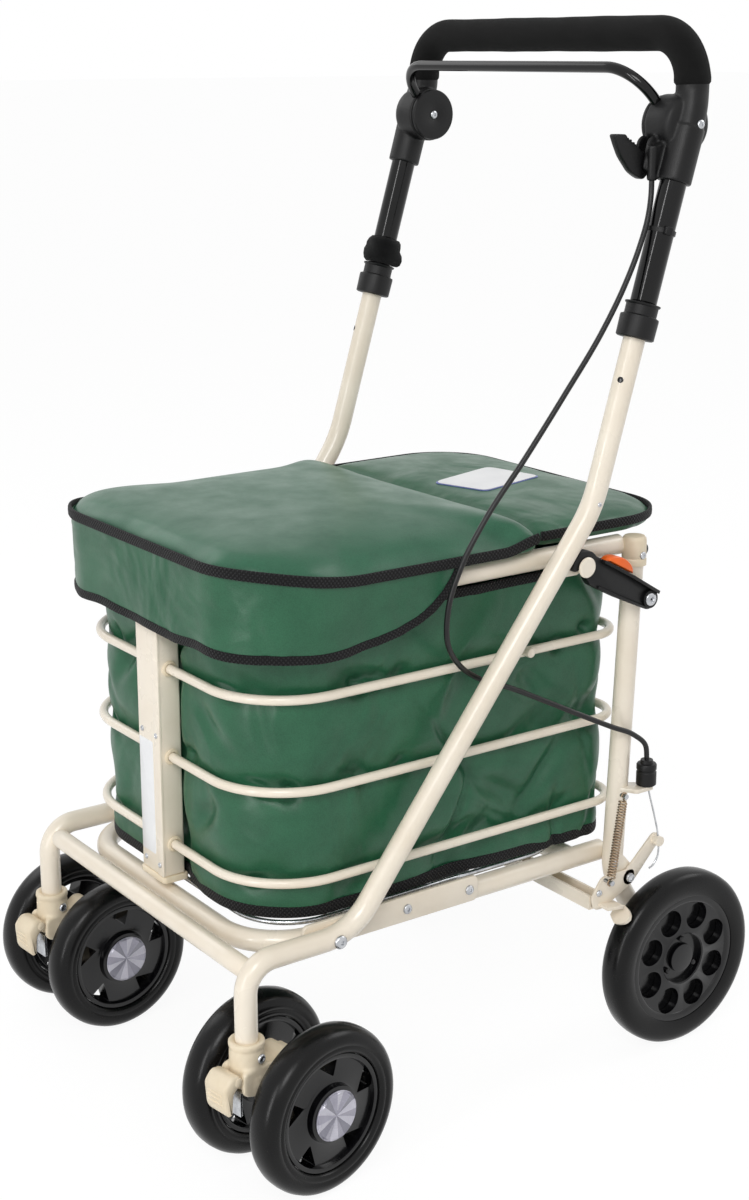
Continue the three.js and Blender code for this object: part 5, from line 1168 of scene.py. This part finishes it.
tie = turned([(-96.5, slider_radius), (-96.5, 13.2), (-92.5, 13.2), (-92.5, slider_radius)],
             up_handle(0, 1), lean_way)
tie_ways = np.array([(0.35, 0.93 * math.cos(lean), -0.93 * math.sin(lean)), lean_way,
                     (0.93, -0.35 * math.cos(lean), 0.35 * math.sin(lean))])
tie_block = slab(box_outline((-3.4, -98), (3.4, -91), 1), 12.8, 18.4, 0.6, 2) @ tie_ways + up_handle(0, 1)
piece("cable_tie", [shell(tie, looped=True), tie_block], black_moulding, "handle_slider")

# Handle brackets and caps
# Black moulded brackets join the tubes to the grip. Each is a sleeve, a neck and a domed drum across
# the hinge, run together, with a flat cap that a screw holds on the drum's inner end. The left one has
# the fork of the parking lever and the barrel that the cable comes out of.
lever_y, lever_z, grip_y, grip_half, grip_foot_z = 427, 850, 466.5, 196, 916.3
sleeve = [(-51, 12.4), (-51, 15.2), (-50.2, 15.7), (-2, 15.9)]
drum = [(172.6, 0.05), (172.6, 25.4), (173.6, 26.2), (192, 26.4), (197, 26), (200.4, 24.6), (202.4, 22),
        (203.4, 17), (203.8, 9), (203.8, 0.05)]
cap = [(172.3, 22), (172.3, 24.4), (171.4, 25), (168.4, 25), (167.4, 24.2), (167.2, 19), (166.8, 6.4),
       (167.4, 5.4), (167.6, 0.05)]
cheek = soft_outline([(419, 845), (442, 842), (448, 862), (446, 880), (425, 872)], 5)
barrel_web = soft_outline([(424, 846), (446, 850), (446, 872), (427, 866)], 3)
barrel = turned([(836, 2.6), (836, 4), (837, 4.6), (866, 4.8)], (190.5, lever_y, 0), along_z, 28)
silver_screws = []
for side in sides:
    hand = side_names[side]
    neck = smooth_line([*[up_handle(below, side) for below in (40, 20, 0)], (side * 198.6, 463.3, 899),
                        (side * 196.4, 466.2, 912), (side * 196, 466.6, 921)], 40)
    bulk = [turned(sleeve, up_handle(0, side), lean_way, 44), pipe(neck, 14.6, along_x, 44),
            turned_across(drum, side, hinge_y, hinge_z, 56)]
    if side > 0:
        bulk += [slab(cheek, x, x + 3.2, 0.6) for x in (171.9, 184.9)]
        bulk += [barrel, slab(barrel_web, 186, 195, 0.8)]
    bracket = piece("bracket_skin_" + hand, bulk, black_moulding, "handle_slider",
                    ("handle_bracket_" + hand,), 50)
    melted(bracket, 1.1, 5)
    piece("bracket_cap_skin_" + hand, [turned_across(cap, side, hinge_y, hinge_z, 56)], black_moulding,
          "handle_slider", ("bracket_cap_" + hand,), 40)
    silver_screws.append(pan_head((side * 168.1, hinge_y, hinge_z), (-side, 0, 0), 4.2, 2.2))
    silver_screws.append(pan_head((side * 214.6, 460, 884), (side, 0, 0), 4.0, 2.0))
piece("bracket_screws", silver_screws, bright_steel, "handle_slider")

# Grip
# A U-shaped grip of soft black foam over a steel core. Its ends puff out a little over the necks.
foam = hard_finish("foam", (15, 15, 15), (24, 24, 24), 50, 3800, 0.85, 0.1, 0.00045, Specular_IOR_Level=0.12,
                   Sheen_Weight=0.04)
grip_z = 961
grip_line = bent([(grip_half, grip_y, grip_foot_z), (grip_half, grip_y, grip_z, 43),
                  (-grip_half, grip_y, grip_z, 43), (-grip_half, grip_y, grip_foot_z)], 20)
grip_run = np.concatenate([[0], np.cumsum(np.linalg.norm(np.diff(grip_line, axis=0), axis=1))])
grip_even = np.linspace(0, grip_run[-1], 150)
grip_line = np.stack([np.interp(grip_even, grip_run, grip_line[:, k]) for k in range(3)], 1)
from_end = np.minimum(grip_even, grip_run[-1] - grip_even)
grip_radius = 15.7 + 0.5 * np.exp(-((from_end - 4) / 5) ** 2) + 0.16 * np.sin(grip_even / 19) \
    + 0.1 * np.sin(grip_even / 7.3 + 1)
grip_radius[[0, -1]] -= 2.2
grip_radius[[1, -2]] -= 0.2
piece("foam_grip_skin", [pipe(grip_line, grip_radius, along_y, 40)], foam, "handle_slider",
      ("foam_grip", "handlebar_tube"))

# Brake bar
# A gloss black rod under the grip, bent down at both ends to flat eyes that turn on the hinge.
bar_x, bar_y, bar_z = 176.2, 419.5, 932
bar_route = bent([(bar_x, 452.3, 890.8), (bar_x, bar_y, bar_z, 40), (-bar_x, bar_y, bar_z, 40),
                  (-bar_x, 452.3, 890.8)], 18)
eye = soft_outline([(hinge_y + 14 * math.cos(a), hinge_z + 14 * math.sin(a))
                    for a in np.linspace(0, 2 * math.pi, 28, endpoint=False)], 0.5, 1)
piece("brake_bar_skin", [pipe(bar_route, 5, (0, 1, 0.4), 28),
                         *[slab_across(eye, side, 172.9, 179.5, 0.8) for side in sides]],
      black_paint, "brake_handle", ("brake_bar",), 40)

# Parking lever
# A black moulded lever with a hooked, ribbed thumb rest, in the fork under the left drum.
lever_reach = 39
lever_shares = [(-1, 0.68), (-0.63, 0.67), (-0.57, 0.54), (-0.45, 0.5), (-0.3, 0.4), (-0.14, 0.28),
                (0.1, 0.2), (0.18, 0), (0.1, -0.18), (-0.1, -0.35), (-0.28, -0.28), (-0.47, -0.16),
                (-0.76, 0.18), (-0.9, 0.45)]
rib_shares = [(-0.585, 0.56), (-0.5, 0.52), (-0.41, 0.46), (-0.32, 0.41)]
lever_outline = soft_outline([(lever_y + lever_reach * a, lever_z + lever_reach * b)
                              for a, b in lever_shares], 3, 5)
lever_ribs = [turned([(176.4, 1.3), (183.6, 1.3)], (0, lever_y + lever_reach * a, lever_z + lever_reach * b),
                     along_x, 12) for a, b in rib_shares]
piece("parking_lever_skin", [slab(lever_outline, 175.7, 184.3, 1.3), *lever_ribs], black_moulding, "parking",
      ("parking_lever",), 45)

# Rear wheels
# On each side a black moulded wheel with eight round pockets and three small studs round its middle,
# in a solid rubber tyre with a rounded tread.
rear_wheel_x, stud_circle, pocket_circle = 203, 19.6, 44
hub_half = [(-10.4, 0.05), (-10.4, 12.6), (-10, 14), (-6, 14.8), (-5.6, 24.4), (-10.6, 25.4), (-11.4, 26.4),
            (-10.6, 27.6), (-10.4, 57), (-11.6, 58), (-12.4, 60), (-12, 64.2)]
tread_half = [(-12.6, 64.3), (-13.6, 66), (-14.4, 72), (-14.6, 77), (-13.8, 81.4), (-11.6, 85), (-8, 87.2),
              (-3.2, 87.9), (0, 88)]
hub_rings, tread_rings, stud_rings = ([(rear_wheel_x + x, radius) for x, radius in profile] for profile in (
    both_faces(hub_half), both_faces(tread_half), [(5, 2.8), (8.6, 2.8), (9.4, 2.1), (9.6, 0.05)]))
pocket = [(1.2, 0.05), (1.2, 13.2), (1.8, 12.8), (10.8, 13.4), (12.1, 14.6), (14, 15.6), (14, 0.05)]


def round_axle(radius, angle):
    """The point (y, z) at a distance from the rear axle, in the direction of an angle."""
    return axle_y + radius * math.cos(angle), axle_z + radius * math.sin(angle)


for side in sides:
    hand = side_names[side]
    wheel = "rear_wheel_" + hand
    hub = piece("rear_hub_skin_" + hand, [turned_across(hub_rings, side, axle_y, axle_z, wheel_cols)],
                wheel_moulding, wheel, ("rear_hub_" + hand,), 40)
    carved(hub, [turned([(way * x, radius) for x, radius in pocket],
                        (side * rear_wheel_x, *round_axle(pocket_circle, a)), along_x, 40)
                 for a in math.pi / 8 + np.arange(8) * math.pi / 4 for way in (side, -side)])
    piece("rear_hub_studs_" + hand, [turned_across(stud_rings, side, *round_axle(stud_circle, a), 16)
                                     for a in math.pi / 2 + np.arange(3) * 2 * math.pi / 3],
          black_paint, wheel)
    piece("rear_tyre_skin_" + hand, [shell(turned_across(tread_rings, side, axle_y, axle_z, wheel_cols),
                                           looped=True)],
          tyre_rubber, wheel, ("rear_tyre_" + hand,), 50)

# Rear brake
# Plates that turn on the legs' brackets and a channel between them carry a curved shoe before each
# tyre. The near plate runs up to the cable's wire, and a coil spring draws the brake off again.
brake_y, brake_z, nipple_y, nipple_z, foot_peg_y, foot_peg_z = 385, 165, 456, 212, 393, 186
plate_near, plate_far = 191.3, 194.1
shoe_inner, shoe_outer, shoe_wide = 93.2, 96.4, 23.4
shoe_angle = math.atan2(brake_z - axle_z, brake_y - axle_y)


def brake_shoe(side):
    """A leaf curved round the tyre: at each step across, an arc before the tread whose half angle falls
    to nothing at the outer end, with its two faces at their own distances from the axle."""
    rings = []
    for across in np.linspace(0, 1, 16):
        half_angle = 6.4 * math.sqrt(max(1 - across ** 2.2, 0.004)) * (0.4 + 0.6 * min(1, across / 0.4))
        angles = shoe_angle + np.radians(-1 + np.linspace(-half_angle, half_angle, 14))
        rings.append([(side * (plate_near + shoe_wide * across), *round_axle(radius, a))
                      for radius, run in ((shoe_inner, angles), (shoe_outer, angles[::-1])) for a in run])
    return rings


def strap_arm(start, end, half_start, half_end, steps=10):
    """A flat arm's outline with round ends of its two half widths, from one point (y, z) to another."""
    heading = math.degrees(math.atan2(end[1] - start[1], end[0] - start[0]))
    return arc(*start, half_start, heading + 90, heading + 270, steps) \
        + arc(*end, half_end, heading - 90, heading + 90, steps)


channel_edge = [(377, 158), (393, 158), (393, 172), (390.6, 172), (390.6, 160.4), (379.4, 160.4), (379.4, 172),
                (377, 172)]
channel = [[(x, y, z) for y, z in channel_edge] for x in (-190.6, -190.2, 190.2, 190.6)]
lower_plate = soft_outline([(376.5, 170), (381, 157.5), (393, 157), (432, 176), (430, 189), (390, 189)], 5)
web_y = round_axle(95, shoe_angle)[0]
shoe_web = soft_outline([(386, 160.4), (web_y, 157.6), (web_y + 1, 160.6), (386, 163.4)], 0.6)
brake_parts = [brake_shoe(side) for side in sides] + [channel]
brake_chrome = []
for side in sides:
    brake_parts.append(slab_across(lower_plate, side, plate_near, plate_far, 0.5))
    brake_parts.append(slab_across(shoe_web, side, 191.5, 207, 0.4))
    brake_chrome.append(pan_head((side * 194, 386, 174), (side, 0, 0), 3.4, 1.8))
wire_arm = strap_arm((pivot_y, pivot_z), (nipple_y, nipple_z), 8, 6.4)
brake_parts.append(slab(wire_arm, plate_near, plate_far, 0.5))
brake_parts.append(turned([(plate_near, 5), (201.6, 5), (202, 4.6), (202, 0.05)], (0, nipple_y, nipple_z),
                          along_x, 24))
piece("brake_linkage_skin", brake_parts, cream_paint, "rear_brake",
      ("brake_channel", "brake_plate_left", "brake_plate_right"), 40)
brake_chrome.append(turned([(191.4, 2), (203, 2), (203.4, 2.6), (205, 2.6), (205.2, 2)],
                           (0, foot_peg_y, foot_peg_z), along_x, 16))
piece("brake_fixings", brake_chrome, bright_steel, "rear_brake")

# Return spring, adjuster and wire
# A tight brown-gold coil hooked between the shelf's peg and the brake plate. The bare wire runs from
# the cable's ribbed adjuster on the shelf to the nipple, and its loose tail stands out beyond it.
spring_metal = hard_finish("spring_metal", (178, 158, 134), (140, 118, 96), 60, 1200, 0.32, 0.12, 0.00004,
                           Metallic=1.0)
spring_top, spring_foot = np.array([201.5, peg_y, peg_z]), np.array([201.5, foot_peg_y, foot_peg_z])
coil_turns, coil_radius, coil_gap, hook_radius = 28, 3.6, 5, 3.0
spring_way = (spring_foot - spring_top) / np.linalg.norm(spring_foot - spring_top)
spring_side = np.cross(spring_way, along_x)
t = np.linspace(0, 1, coil_turns * 14 + 1)[:, None]
coil_from, coil_to = spring_top + spring_way * coil_gap, spring_foot - spring_way * coil_gap
angle = t * coil_turns * 2 * math.pi
coil = coil_from + (coil_to - coil_from) * t \
    + coil_radius * (np.cos(angle) * np.array(along_x) + np.sin(angle) * spring_side)


def hook_end(start, peg, way):
    """The spring's bent end: in to its middle line, then a loop round the peg."""
    loop_angle = np.linspace(0, 1.6 * math.pi, 16)[:, None]
    loop_line = peg + hook_radius * (np.cos(loop_angle) * way + np.sin(loop_angle) * np.cross(along_x, way))
    return np.concatenate([start[None], (start * 0.3 + (peg + way * 4) * 0.7)[None], loop_line])


top_hook = hook_end(coil[0], spring_top, spring_way)[::-1]
foot_hook = hook_end(coil[-1], spring_foot, -spring_way)
spring_line = np.concatenate([top_hook[:-1], coil, foot_hook[1:]])
return_spring = piece("return_spring", [pipe(spring_line, 0.85, (1, 0.3, 0.2), 8)], spring_metal, None,
                      ("brake_spring",), 60)
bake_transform(return_spring)
adjuster = [(273, 6), (273, 8.6), (274, 9.6), (286, 9.6), (287, 8.8), (288.2, 8.8), (289, 9.6), (293.4, 9.6),
            (294.6, 8.8), (295, 6.4), (298.2, 5.8), (298.2, 2.4)]
piece("adjuster_skin", [turned(adjuster, (197, 439, 0), along_z, 48)], black_moulding, "frame",
      ("cable_adjuster",), 35)
bare_wire_radius = 0.9
wire_line = smooth_line([(197, 439, 282), (197, 444, 262), (197.6, 451, 238), (198, 455.8, 217),
                         (198, nipple_y, nipple_z), (198, 457.5, 203), (198, 456, 195), (198, 450.5, 188),
                         (198, 446, 186)], 60)
bare_wire = piece("brake_wire_skin", [pipe(wire_line, bare_wire_radius, along_x, 10)], bright_steel, None,
                         ("brake_wire",), 60)
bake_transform(bare_wire)
